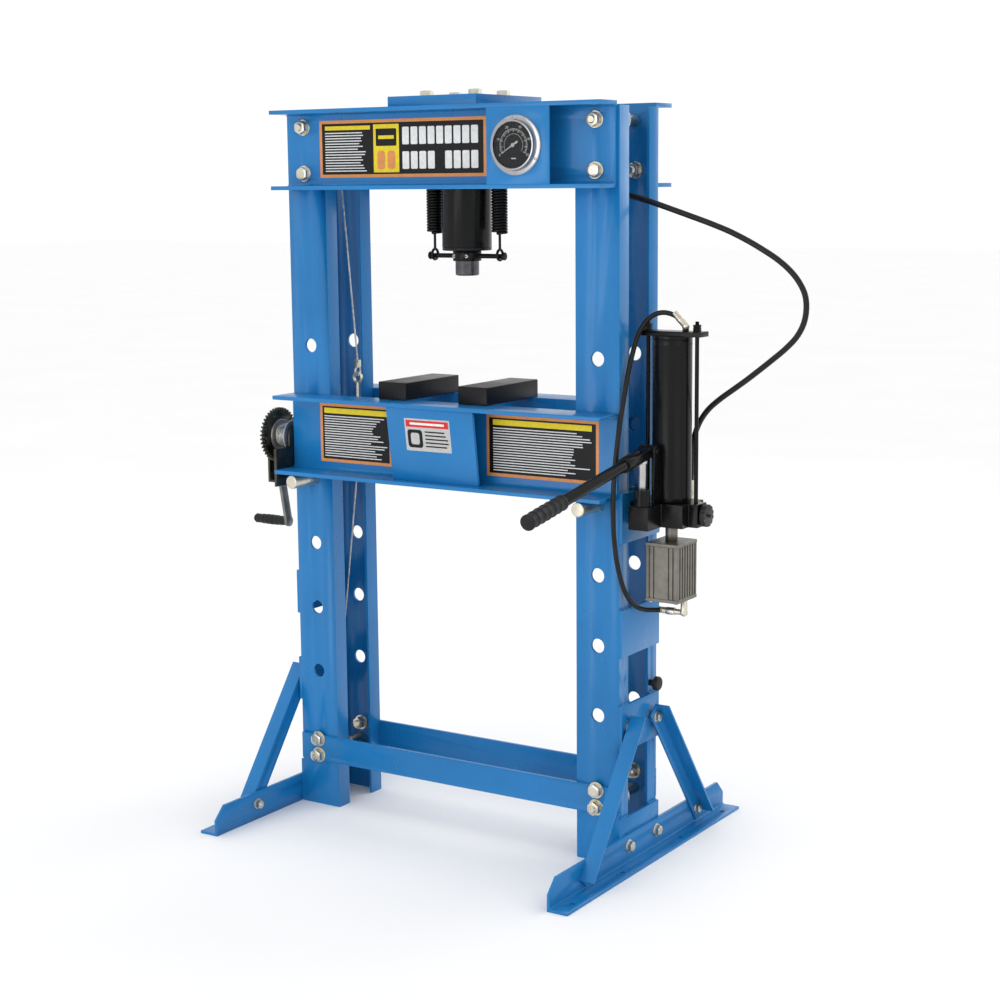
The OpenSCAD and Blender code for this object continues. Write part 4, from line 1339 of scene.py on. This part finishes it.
@dataclass(frozen=True)
class RopeSystem:
    """The wire ropes that lift the bed and keep it level, and their pulleys."""

    pulley_radius: float = 0.027
    rope: float = 0.0025
    lay: float = 30.0
    step: float = 0.006

    def build(self) -> None:
        """Builds the pulleys and every stretch of rope."""
        centre = {}
        for corner in ("top_left", "top_right", "bottom_left", "bottom_right"):
            Softened(f"pulley_{corner}", DRUM_STEEL, 0.0006).build()
            centre[corner] = Span.of(f"pulley_{corner}").mid
        Softened("rope_eyes", ZINC, 0.0008).build()
        falls = islands("upper_ropes")
        drum_fall, left_fall, right_fall = sorted(falls, key=lambda part: part.low.x)
        lower = Span.of("lower_rope")
        left_top = self.rod_ends(left_fall, 1)
        right_top = self.rod_ends(right_fall, -1)
        low_top = self.rod_ends(lower, -1)
        self.static_rope(centre, left_top[1], right_top[1], low_top[0])
        self.falls(drum_fall, left_top, right_top, low_top)

    def rod_ends(self, part: Span, lean: int) -> tuple[Vector, Vector]:
        """Lower and upper end of a rope in the XZ plane.

        Args:
            part: The rope's box.
            lean: 1 when its top is further left, -1 when it is further right.

        Returns:
            Its lower and its upper end.
        """
        r = self.rope
        x_low, x_high = part.low.x + r, part.high.x - r
        bottom, top = (x_high, x_low) if lean > 0 else (x_low, x_high)
        return Vector((bottom, 0, part.low.z)), Vector((top, 0, part.high.z))

    def angle(self, centre: Vector, point: Vector) -> float:
        """Direction of a point from a pulley, in degrees."""
        return math.degrees(math.atan2(point.z - centre.z, point.x - centre.x)) % 360

    def static_rope(
        self, centre: dict[str, Vector], left: Vector, right: Vector, low: Vector
    ) -> None:
        """The stretches over and round the pulleys.

        Args:
            centre: The pulleys' middles.
            left: Where the left fall meets its pulley.
            right: Where the right fall meets its pulley.
            low: Where the lower rope meets its pulley.
        """
        r = self.pulley_radius
        start = self.angle(centre["top_left"], left)
        over_left = arc(centre["top_left"], r, start, 180)
        end = self.angle(centre["top_right"], right)
        final = self.angle(centre["bottom_left"], low)
        level = [
            *arc(centre["top_right"], r, end, 0),
            *arc(centre["bottom_right"], r, 0, -90),
            *arc(centre["bottom_left"], r, 270, final),
        ]
        form = Form()
        for path in (over_left, level):
            form.sweep(evenly(path, self.step), rope_outline(self.rope), self.lay)
        made = form.piece("frame_rope_laid", "frame", ROPE_WIRE, sharp=70)
        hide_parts("frame_rope")

    def falls(
        self,
        drum: Span,
        left: tuple[Vector, Vector],
        right: tuple[Vector, Vector],
        low: tuple[Vector, Vector],
    ) -> None:
        """The stretches that move with the bed at one end.

        Args:
            drum: Box of the stretch to the drum.
            left: Ends of the left fall.
            right: Ends of the right fall.
            low: Ends of the lower rope.
        """
        r = self.rope
        outer = (
            Vector((drum.low.x + r, drum.low.y + r, drum.low.z)),
            Vector((drum.high.x - r, 0.0, drum.high.z)),
        )
        for name, (bottom, top) in (("drum", outer), ("left", left), ("right", right)):
            form = Form().sweep(evenly([top, bottom], self.step), rope_outline(r), self.lay)
            fall = form.piece(f"rope_fall_{name}", "", ROPE_WIRE, sharp=70)
            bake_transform(fall)
        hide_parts("upper_ropes")
        form = Form().sweep(evenly(low, self.step), rope_outline(r), self.lay)
        fall = form.piece("rope_fall_lower", "", ROPE_WIRE, sharp=70)
        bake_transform(fall)
        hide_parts("lower_rope")


@dataclass(frozen=True)
class Winch:
    """Bed winch: frame, wound drum, gear, crank and grip."""

    core: float = 0.0258
    rope: float = 0.0025
    lay: float = 30.0
    flange: float = 0.004
    rim: float = 0.042

    def build(self) -> None:
        """Builds the winch on the left end of the bed."""
        Softened("winch_frame", WINCH_STEEL, 0.0012, 0.002).build()
        Softened("winch_gear", WINCH_STEEL, 0.0003, 0.0, 1).build()
        Softened("winch_crank", CRANK_STEEL, 0.0006).build()
        self.drum()
        self.grip()

    def drum(self) -> None:
        """Drum with seven turns of rope wound on it."""
        drum = Span.of("winch_drum")
        gear = Span.of("winch_gear")
        axis_y, axis_z = gear.mid.y, gear.mid.z
        x0, x1 = gear.high.x + 0.001, drum.high.x - 0.006
        flange, rim = self.flange, self.rim
        place = aim((0, axis_y, axis_z), (1, 0, 0))
        form = Form().lathe(
            [(0, drum.low.x), (0.0094, drum.low.x), (0.01, drum.low.x + 0.0008), (0.01, x0),
             (rim - 0.001, x0), (rim, x0 + 0.001), (rim, x0 + flange - 0.001), (rim - 0.001, x0 + flange),
             (self.core, x0 + flange), (self.core, x1 - flange), (rim - 0.001, x1 - flange),
             (rim, x1 - flange + 0.001), (rim, x1 - 0.001), (rim - 0.001, x1), (0.01, x1),
             (0.01, drum.high.x), (0, drum.high.x)],
            place, 64,
        )
        form.mark = 1
        low, high = x0 + flange + self.rope, x1 - flange - self.rope
        turns = int((high - low) / (2 * self.rope))
        r = self.core + self.rope + 0.0001
        path = []
        for k in range(turns * 36 + 1):
            a = math.tau * k / 36
            x = low + (high - low) * k / (turns * 36)
            path.append(Vector((x, axis_y + r * math.cos(a), axis_z + r * math.sin(a))))
        form.sweep(path, rope_outline(self.rope), self.lay)
        made = form.piece("winch_drum_wound", "winch_drum", DRUM_STEEL, ROPE_WIRE)
        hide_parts("winch_drum")

    def grip(self) -> None:
        """Turned grip with a slight belly and grooves."""
        span = Span.of("crank_grip")
        length = span.size.x
        profile = [(0.0061, 0.0), (0.0115, 0.0), (0.0128, 0.0015)]
        for i in range(1, 40):
            t = i / 40
            groove = 0.0009 if i % 6 < 2 else 0.0
            profile.append((0.0118 + 0.0021 * math.sin(math.pi * t) - groove, length * t))
        profile += [(0.0128, length - 0.0015), (0.0115, length), (0.0061, length)]
        made = Form().lathe(profile, aim((span.low.x, span.mid.y, span.mid.z), (1, 0, 0)), 40).piece(
            "crank_grip_turned", "crank_grip", RUBBER
        )
        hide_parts("crank_grip")


# ---- pump -------------------------------------------------------------------------------------


@dataclass(frozen=True)
class Pump:
    """Hand and air pump on the right: tank, base, handle, motor and valve."""

    tank_radius: float = 0.048
    tank_wall: float = 0.004
    motor_height: float = 0.144
    end_plate: float = 0.0088
    handle_slope: float = 9.3
    handle_reach: float = 0.556
    grip_length: float = 0.150

    def build(self) -> None:
        """Builds the pump from the motor up."""
        Softened("pump_base", JET, 0.0025, 0.003).build()
        Softened("pump_top_bar", JET, 0.0015, 0.002).build()
        Softened("handle_bracket", JET, 0.0012).build()
        Softened("pump_handle", JET, 0.0012, 0.002).build()
        Softened("pump_plunger", GROUND, 0.0008).build()
        Softened("release_knob", KNOB, 0.0006).build()
        Softened("storage_peg", RUBBER, 0.0012).build()
        self.tank()
        self.tie_rods()
        self.grip()
        self.motor()
        self.motor_screws()

    def motor(self) -> None:
        """Fluted body between two plain end plates, on a round neck."""
        span = Span.of("air_motor")
        base = Span.of("pump_base").low.z
        half_x, half_y, top = span.size.x / 2, span.size.y / 2, span.low.z + self.motor_height
        place = Matrix.Translation((span.mid.x, span.mid.y, 0))
        form = Form()
        flutes_x = (-0.032, -0.020, 0.020, 0.032)
        flutes_y = (-0.039, -0.026, -0.013, 0.0, 0.013, 0.026, 0.039)
        outline: list[tuple[float, float]] = []
        for side in range(4):
            reach, depth = (half_x, half_y) if side % 2 == 0 else (half_y, half_x)
            turn = Matrix.Rotation(side * math.pi / 2, 2)
            edge = [(-reach + 0.002, -depth)]
            for x in flutes_x if side % 2 == 0 else flutes_y:
                edge += [(x - 0.003, -depth), (x - 0.0024, -depth + 0.003),
                         (x + 0.0024, -depth + 0.003), (x + 0.003, -depth)]
            edge.append((reach - 0.002, -depth))
            outline += [tuple(turn @ Vector(point)) for point in edge]
        form.prism(outline, span.low.z + 0.009, top - 0.009, place)
        square = ((-1, -1), (1, -1), (1, 1), (-1, 1))
        for low, high in ((span.low.z, span.low.z + self.end_plate), (top - self.end_plate, top)):
            form.skin([
                [place @ Vector((x * (half_x - inset), y * (half_y - inset), z)) for x, y in square]
                for z, inset in ((low, 0.0008), (low + 0.0008, 0.0), (high - 0.0008, 0.0), (high, 0.0008))
            ])
        form.lathe(
            [(0, top), (0.0144, top), (0.015, top + 0.001), (0.015, base - 0.001), (0.0144, base),
             (0, base)],
            place, 40,
        )
        made = form.piece("air_motor_fluted", "frame", ALLOY)
        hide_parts("air_motor")

    def tank(self) -> None:
        """Rolled tank with a swaged bead near each end."""
        span = Span.of("pump_reservoir")
        r, h = self.tank_radius, span.size.z
        profile = [(r - self.tank_wall, 0.0), (r - 0.0015, 0.0), (r - 0.0006, 0.0015)]
        for end in (0.010, h - 0.016):
            profile += [(r - 0.0006, end), (r - 0.0002, end + 0.0015), (r, end + 0.003),
                        (r - 0.0002, end + 0.0045), (r - 0.0006, end + 0.006)]
        profile += [(r - 0.0006, h - 0.0015), (r - 0.0015, h), (r - self.tank_wall, h)]
        made = Form().lathe(profile, aim((span.mid.x, 0, span.low.z), (0, 0, 1)), 72).piece(
            "pump_tank", "frame", JET
        )
        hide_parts("pump_reservoir")

    def tie_rods(self) -> None:
        """Rods with threaded ends and locked nuts over the top bar."""
        bar_top = Span.of("pump_top_bar").high.z
        form = Form()
        for rod in islands("pump_tie_rods"):
            place = aim((rod.mid.x, rod.mid.y, 0), (0, 0, 1))
            form.rod(0.005, rod.low.z, bar_top, place, 28)
            form.lathe(
                [(0, bar_top), (0.0105, bar_top), (0.0105, bar_top + 0.0014), (0.0098, bar_top + 0.002),
                 (0, bar_top + 0.002)],
                place, 36,
            )
            form.hexagon(0.0169, bar_top + 0.002, bar_top + 0.0095, place, both=True)
            form.hexagon(0.0169, bar_top + 0.0097, bar_top + 0.0165, place, both=True)
            M10.add_thread(form, place, bar_top + 0.012, rod.high.z)
        made = form.piece("pump_tie_rods_cut", "frame", JET)
        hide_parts("pump_tie_rods")

    def grip(self) -> None:
        """Moulded grip with finger ridges and a flared end."""
        pivot = Vector(FRAME["joint"]["handle_swing"]["pos_m"])
        slope = math.radians(self.handle_slope)
        along = Vector((0, -math.cos(slope), -math.sin(slope)))
        length = self.grip_length
        start = pivot + along * (self.handle_reach - length)
        profile = [(0.0136, 0.0), (0.0160, 0.0), (0.0168, 0.0012)]
        steps = 72
        for i in range(1, steps):
            t = i / steps
            ridge = 0.0016 * max(0.0, math.sin(math.tau * 6.5 * t)) ** 0.6
            profile.append((0.0166 + ridge + 0.0004 * math.sin(math.pi * t), length * t))
        profile += [(0.0184, length - 0.0045), (0.0178, length - 0.0015), (0.0150, length), (0.0, length)]
        made = Form().lathe(profile, aim(start, along), 48).piece(
            "handle_grip_moulded", "pump_handle", RUBBER, sharp=50
        )
        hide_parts("handle_grip")

    def motor_screws(self) -> None:
        """Cap screws at the lower corners of the air motor."""
        span = Span.of("air_motor")
        form = Form()
        for sx in (-1, 1):
            for sy in (-1, 1):
                spot = (span.mid.x + sx * 0.034, span.mid.y + sy * 0.040, span.low.z)
                form.lathe(
                    [(0, -0.002), (0.0046, -0.002), (0.0046, 0.0028), (0.0040, 0.0034), (0.0025, 0.0034),
                     (0.0023, 0.0006), (0, 0.0006)],
                    aim(spot, (0, 0, -1)), 24,
                )
        form.piece("motor_screws", "frame", ZINC)


# ---- hoses -----------------------------------------------------------------------------------------


@dataclass(frozen=True)
class Hose:
    """A free hose between two fittings."""

    name: str
    node: str
    diameter: float
    route: tuple[tuple[float, float, float], ...]

    def build(self) -> None:
        path = rounded([Vector(point) / 1000 for point in self.route])
        curve = bpy.data.curves.new(self.name, "CURVE")
        curve.dimensions = "3D"
        curve.bevel_depth = self.diameter / 2
        curve.bevel_resolution = 5
        curve.use_fill_caps = True
        line = curve.splines.new("POLY")
        line.points.add(len(path) - 1)
        for point, place in zip(line.points, path):
            point.co = (*place, 1.0)
        line.use_smooth = True
        curve.materials.append(HOSE_SKIN.material())
        made = bpy.data.objects.new(self.name, curve)
        settle(made, "frame")
        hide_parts(self.node)
        length = sum((b - a).length for a, b in zip(path, path[1:]))
        LOG.info("%s is %.3f m long", self.name, length)


AIR_HOSE = Hose(
    "air_hose_drawn", "air_hose", 0.012,
    ((572, 0, 634), (567, 0, 634), (557, -3, 634), (541, -11, 634), (527, -26, 636), (515, -46, 645),
     (509, -68, 663), (506, -89, 687), (505, -107, 716), (505, -122, 748), (505, -134, 782),
     (505, -142, 819), (505, -147, 857), (505, -149, 895), (505, -148, 932), (505, -144, 970),
     (505, -138, 1008), (505, -130, 1045), (505, -121, 1082), (505, -110, 1120), (505, -97, 1158),
     (505, -84, 1195), (505, -70, 1230), (506, -56, 1262), (508, -44, 1290), (513, -34, 1313),
     (521, -26, 1331), (533, -19, 1345), (547, -13, 1354), (562, -8, 1357), (577, -4, 1355),
     (592, -1, 1349), (600.5, 0, 1343.5), (604, 0, 1340)),
)
OIL_HOSE = Hose(
    "hydraulic_hose_drawn", "hydraulic_hose", 0.014,
    ((600, 68, 925), (600, 68, 960), (601, 68, 995), (604, 67, 1030), (611, 66, 1062),
     (625, 65, 1094), (648, 63, 1124), (679, 61, 1150), (712, 59, 1173), (748, 57, 1198),
     (784, 56, 1225), (818, 54, 1251), (850, 53, 1277), (878, 51, 1305), (896, 50, 1337),
     (903, 48, 1371), (900, 46, 1404), (885, 44, 1434), (862, 43, 1460), (832, 41, 1484),
     (797, 40, 1505), (760, 38, 1525), (712, 37, 1547), (661, 35, 1566), (610, 33, 1583),
     (558, 31, 1600), (505, 29, 1617), (465, 27, 1628), (431, 26, 1637), (398, 25, 1647),
     (365, 23, 1659), (330, 21, 1674), (295, 18, 1691), (260, 15, 1708), (225, 11, 1723),
     (190, 7, 1735), (155, 3, 1743), (130, 0, 1746), (125, 0, 1746)),
)


@dataclass(frozen=True)
class Fittings:
    """Elbows and crimped ferrules at the ends of the hoses."""

    def build(self) -> None:
        """Eases the elbows and crimps a ferrule on each hose end."""
        Softened("hose_fittings", ZINC, 0.0008, 0.001).build()
        form = Form()
        for hose in (AIR_HOSE, OIL_HOSE):
            path = [Vector(point) / 1000 for point in hose.route]
            for end, nxt in ((path[0], path[1]), (path[-1], path[-2])):
                inward = (nxt - end).normalized()
                self.ferrule(form, end - inward * 0.003, inward, hose.diameter / 2)
        form.piece("hose_ferrules", "frame", ZINC)

    def ferrule(self, form: Form, start: Vector, inward: Vector, radius: float) -> None:
        """One crimped sleeve over the end of a hose.

        Args:
            form: The form it is added to.
            start: Its outer end.
            inward: The way along the hose.
            radius: The hose's radius.
        """
        r = radius + 0.0022
        profile = [(radius - 0.001, 0.0), (r, 0.0), (r + 0.0004, 0.0015)]
        for i in range(5):
            z = 0.004 + i * 0.0042
            profile += [(r + 0.0004, z), (r - 0.0008, z + 0.0010),
                        (r - 0.0008, z + 0.0020), (r + 0.0004, z + 0.0030)]
        profile += [(r, 0.0262), (radius + 0.0006, 0.0268), (radius - 0.001, 0.0268)]
        form.lathe(profile, aim(start, inward), 36)


# ---- labels -----------------------------------------------------------------------------------------


@dataclass(frozen=True)
class Label:
    """A printed label with plain bars and strokes in place of any wording."""

    name: str
    body: str
    place: Matrix
    width: float
    height: float
    rim: float = 0.008

    def sheet(self) -> Form:
        """Starts the label with its base and border.

        Returns:
            The form, ready for print.
        """
        form = Form()
        self.patch(form, 0, 0, 1, 1, Ink.ORANGE, 0)
        x, y = self.rim / self.width, self.rim / self.height
        self.patch(form, x, y, 1 - x, 1 - y, Ink.BLACK, 1)
        return form

    def patch(
        self, form: Form, x0: float, y0: float, x1: float, y1: float,
        ink: Ink, layer: int, corner: float = 0.0015,
    ) -> None:
        """Adds a rounded patch of ink.

        Args:
            form: What it is added to.
            x0: Left edge, as a share of the width.
            y0: Lower edge, as a share of the height.
            x1: Right edge.
            y1: Upper edge.
            ink: Its colour.
            layer: Its place in the stack of prints.
            corner: Radius of its corners.
        """
        left, right = x0 * self.width, x1 * self.width
        low, high = y0 * self.height, y1 * self.height
        corner = min(corner, (right - left) * 0.45, (high - low) * 0.45)
        outline = []
        for cx, cy, start in (
            (right - corner, low + corner, -90), (right - corner, high - corner, 0),
            (left + corner, high - corner, 90), (left + corner, low + corner, 180),
        ):
            for k in range(5):
                a = math.radians(start + 22.5 * k)
                outline.append((cx + corner * math.cos(a), cy + corner * math.sin(a)))
        form.mark = list(Ink).index(ink)
        top = 0.0003 + 0.00012 * layer
        form.prism(outline, 0.00002, top, self.place)

    def lines(self, form: Form, x0: float, y0: float, x1: float, y1: float, count: int, ink: Ink) -> None:
        """Adds thin strokes of uneven length, as a block of small print looks from afar.

        Args:
            form: The form it is added to.
            x0: Left edge, as a share of the width.
            y0: Lower edge, as a share of the height.
            x1: Right edge.
            y1: Upper edge.
            count: How many strokes.
            ink: Their colour.
        """
        pitch = (y1 - y0) / count
        for i in range(count):
            seed = math.sin((i + 1) * 12.9898 + len(self.name)) * 43758.5453
            share = 0.72 + 0.28 * (seed - math.floor(seed))
            y = y1 - (i + 0.65) * pitch
            self.patch(form, x0, y, x0 + (x1 - x0) * share, y + pitch * 0.38, ink, 2, 0.0004)

    def finish(self, form: Form) -> bpy.types.Object:
        """Makes the label's piece."""
        return form.piece(self.name, self.body, *(ink.value for ink in Ink))


@dataclass(frozen=True)
class Labels:
    """The labels on the head, the bed and its front plate."""

    web: float = 0.008

    def build(self) -> None:
        """Builds the four labels from the faces that they stick to."""
        head, bed = Span.of("head_channel_front"), Span.of("bed_channel_front")
        self.head_label(head)
        self.bed_label("bed_label_left", bed, -0.399, 0.230)
        self.bed_label("bed_label_right", bed, 0.121, 0.320)
        self.plate_label()

    def upright(self, channel: Span, x: float, z: float) -> Matrix:
        """Axes of a label on the front of a channel's web."""
        return panel_place(Vector((x, channel.high.y - self.web, z)), Vector((0, 0, 1)))

    def head_label(self, head: Span) -> None:
        """Long label: small print, a yellow panel with marks, and two broad bars.

        Args:
            head: Box of the front head channel.
        """
        label = Label("head_label", "frame", self.upright(head, -0.380, head.low.z + 0.030), 0.508, 0.143)
        form = label.sheet()
        label.patch(form, 0.035, 0.83, 0.315, 0.90, Ink.YELLOW, 2, 0.0008)
        label.lines(form, 0.035, 0.09, 0.315, 0.80, 15, Ink.WHITE)
        label.patch(form, 0.335, 0.085, 0.490, 0.915, Ink.YELLOW, 2)
        label.patch(form, 0.350, 0.54, 0.475, 0.84, Ink.BLACK, 3, 0.003)
        label.patch(form, 0.365, 0.66, 0.460, 0.72, Ink.YELLOW, 4, 0.001)
        label.patch(form, 0.358, 0.14, 0.405, 0.46, Ink.ORANGE, 3, 0.008)
        label.patch(form, 0.420, 0.14, 0.467, 0.46, Ink.ORANGE, 3, 0.008)
        for low, blocks in ((0.56, "111111111"), (0.14, "111101111")):
            for i, shown in enumerate(blocks):
                if shown == "1":
                    x = 0.510 + 0.0505 * i
                    label.patch(form, x, low, x + 0.040, low + 0.30, Ink.WHITE, 2, 0.003)
        label.finish(form)

    def bed_label(self, name: str, bed: Span, x: float, width: float) -> None:
        """Block of small print under a yellow heading bar.

        Args:
            name: The piece's name.
            bed: Box of the front bed channel.
            x: Its left edge.
            width: Its width.
        """
        label = Label(name, "bed", self.upright(bed, x, bed.low.z + 0.031), width, 0.154)
        form = label.sheet()
        label.patch(form, 0.06, 0.83, 0.94, 0.92, Ink.YELLOW, 2, 0.001)
        label.lines(form, 0.06, 0.08, 0.94, 0.80, 17, Ink.WHITE)
        label.finish(form)

    def plate_label(self) -> None:
        """Small label on the slanted plate: red heading, grey field and a plain sign."""
        plate = min(islands("bed_plates"), key=lambda part: part.mid.y)
        slope = (plate.size.y - 0.006) / plate.size.z
        z = plate.low.z + 0.079
        y = plate.low.y + slope * (plate.high.z - z)
        up = Vector((0, -slope, 1)).normalized()
        label = Label("bed_plate_label", "bed", panel_place(Vector((-0.076, y, z)), up), 0.136, 0.083)
        form = Form()
        label.patch(form, 0, 0, 1, 1, Ink.GREY, 0)
        label.patch(form, 0.03, 0.74, 0.97, 0.95, Ink.RED, 1)
        label.patch(form, 0.12, 0.81, 0.88, 0.88, Ink.WHITE, 2, 0.001)
        label.patch(form, 0.05, 0.10, 0.38, 0.66, Ink.BLACK, 1, 0.008)
        label.patch(form, 0.12, 0.20, 0.31, 0.56, Ink.GREY, 2, 0.006)
        label.lines(form, 0.44, 0.10, 0.95, 0.66, 5, Ink.BLACK)
        label.finish(form)


# ---- studio ------------------------------------------------------------------------------------------


@dataclass(frozen=True)
class Studio:
    """Camera, soft lights and pale floor."""

    eye: Colour = (2.7143, -4.0671, 1.6675)
    yaw: float = 32.818
    pitch: float = -9.392
    roll: float = -0.532
    lens: float = 69.376
    floor_half: float = 40.0

    def camera(self) -> None:
        """Places the camera."""
        yaw, pitch, roll = (math.radians(a) for a in (self.yaw, self.pitch, self.roll))
        ahead = Vector((-math.sin(yaw) * math.cos(pitch), math.cos(yaw) * math.cos(pitch), math.sin(pitch)))
        right = ahead.cross(Vector((0, 0, 1))).normalized()
        up = right.cross(ahead)
        across = right * math.cos(roll) + up * math.sin(roll)
        upward = up * math.cos(roll) - right * math.sin(roll)
        data = bpy.data.cameras.new("camera")
        data.lens = self.lens
        data.sensor_width = 36.0
        made = bpy.data.objects.new("camera", data)
        turn = Matrix((across, upward, -ahead)).transposed().to_4x4()
        made.matrix_world = Matrix.Translation(Vector(self.eye)) @ turn
        bpy.context.scene.collection.objects.link(made)
        bpy.context.scene.camera = made

    def light(
        self, name: str, place: Colour, power: float, size: float, target: Colour = (0, 0, 1.0)
    ) -> None:
        """Adds one square soft light that points at a target.

        Args:
            name: Its name.
            place: Where it stands.
            power: Its power in watts.
            size: Its side.
            target: What it points at.
        """
        data = bpy.data.lights.new(name, "AREA")
        data.energy = power
        data.size = size
        made = bpy.data.objects.new(name, data)
        made.matrix_world = aim(place, Vector(place) - Vector(target))
        bpy.context.scene.collection.objects.link(made)

    def build(self) -> None:
        """Adds the lights, the surrounding light and the floor."""
        bpy.context.scene.view_settings.view_transform = "Standard"
        self.light("key_light", (-0.6, -5.4, 1.7), 55, 3.0)
        self.light("fill_light", (4.8, -2.6, 1.6), 12, 2.8)
        self.light("rim_light", (1.8, 3.8, 3.4), 40, 2.6)
        world = bpy.data.worlds.new("studio_air")
        world.use_nodes = True
        sky = world.node_tree.nodes["Background"]
        sky.inputs["Color"].default_value = (1.0, 1.0, 1.0, 1.0)
        sky.inputs["Strength"].default_value = 1.04
        bpy.context.scene.world = world
        half = self.floor_half
        form = Form()
        form.prism([(-half, -half), (half, -half), (half, half), (-half, half)], -0.02, 0.0, Matrix())
        form.piece("studio_floor", "", FLOOR)


# ---- main ----------------------------------------------------------------------------------------------


def main() -> None:
    """Builds the press around its frame."""
    logging.basicConfig(level=logging.INFO, format="%(name)s: %(message)s")
    FRAME.update(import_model())
    FRAME["joint"] = {joint["name"]: joint for joint in FRAME["joints"]}
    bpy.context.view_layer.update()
    studio = Studio()
    studio.camera()
    AIR_HOSE.build()
    OIL_HOSE.build()
    Fittings().build()
    SteelFrame().build()
    for hand in ("left", "right"):
        Softened(f"bed_pin_{hand}", ZINC, 0.001).build()
        Softened(f"arbor_plate_{hand}", SATIN_BLACK, 0.0018).build()
    Fasteners().build()
    PressCylinder().build()
    PressureGauge().build()
    RopeSystem().build()
    Winch().build()
    Pump().build()
    Labels().build()
    studio.build()


if __name__ == "__main__":
    main()
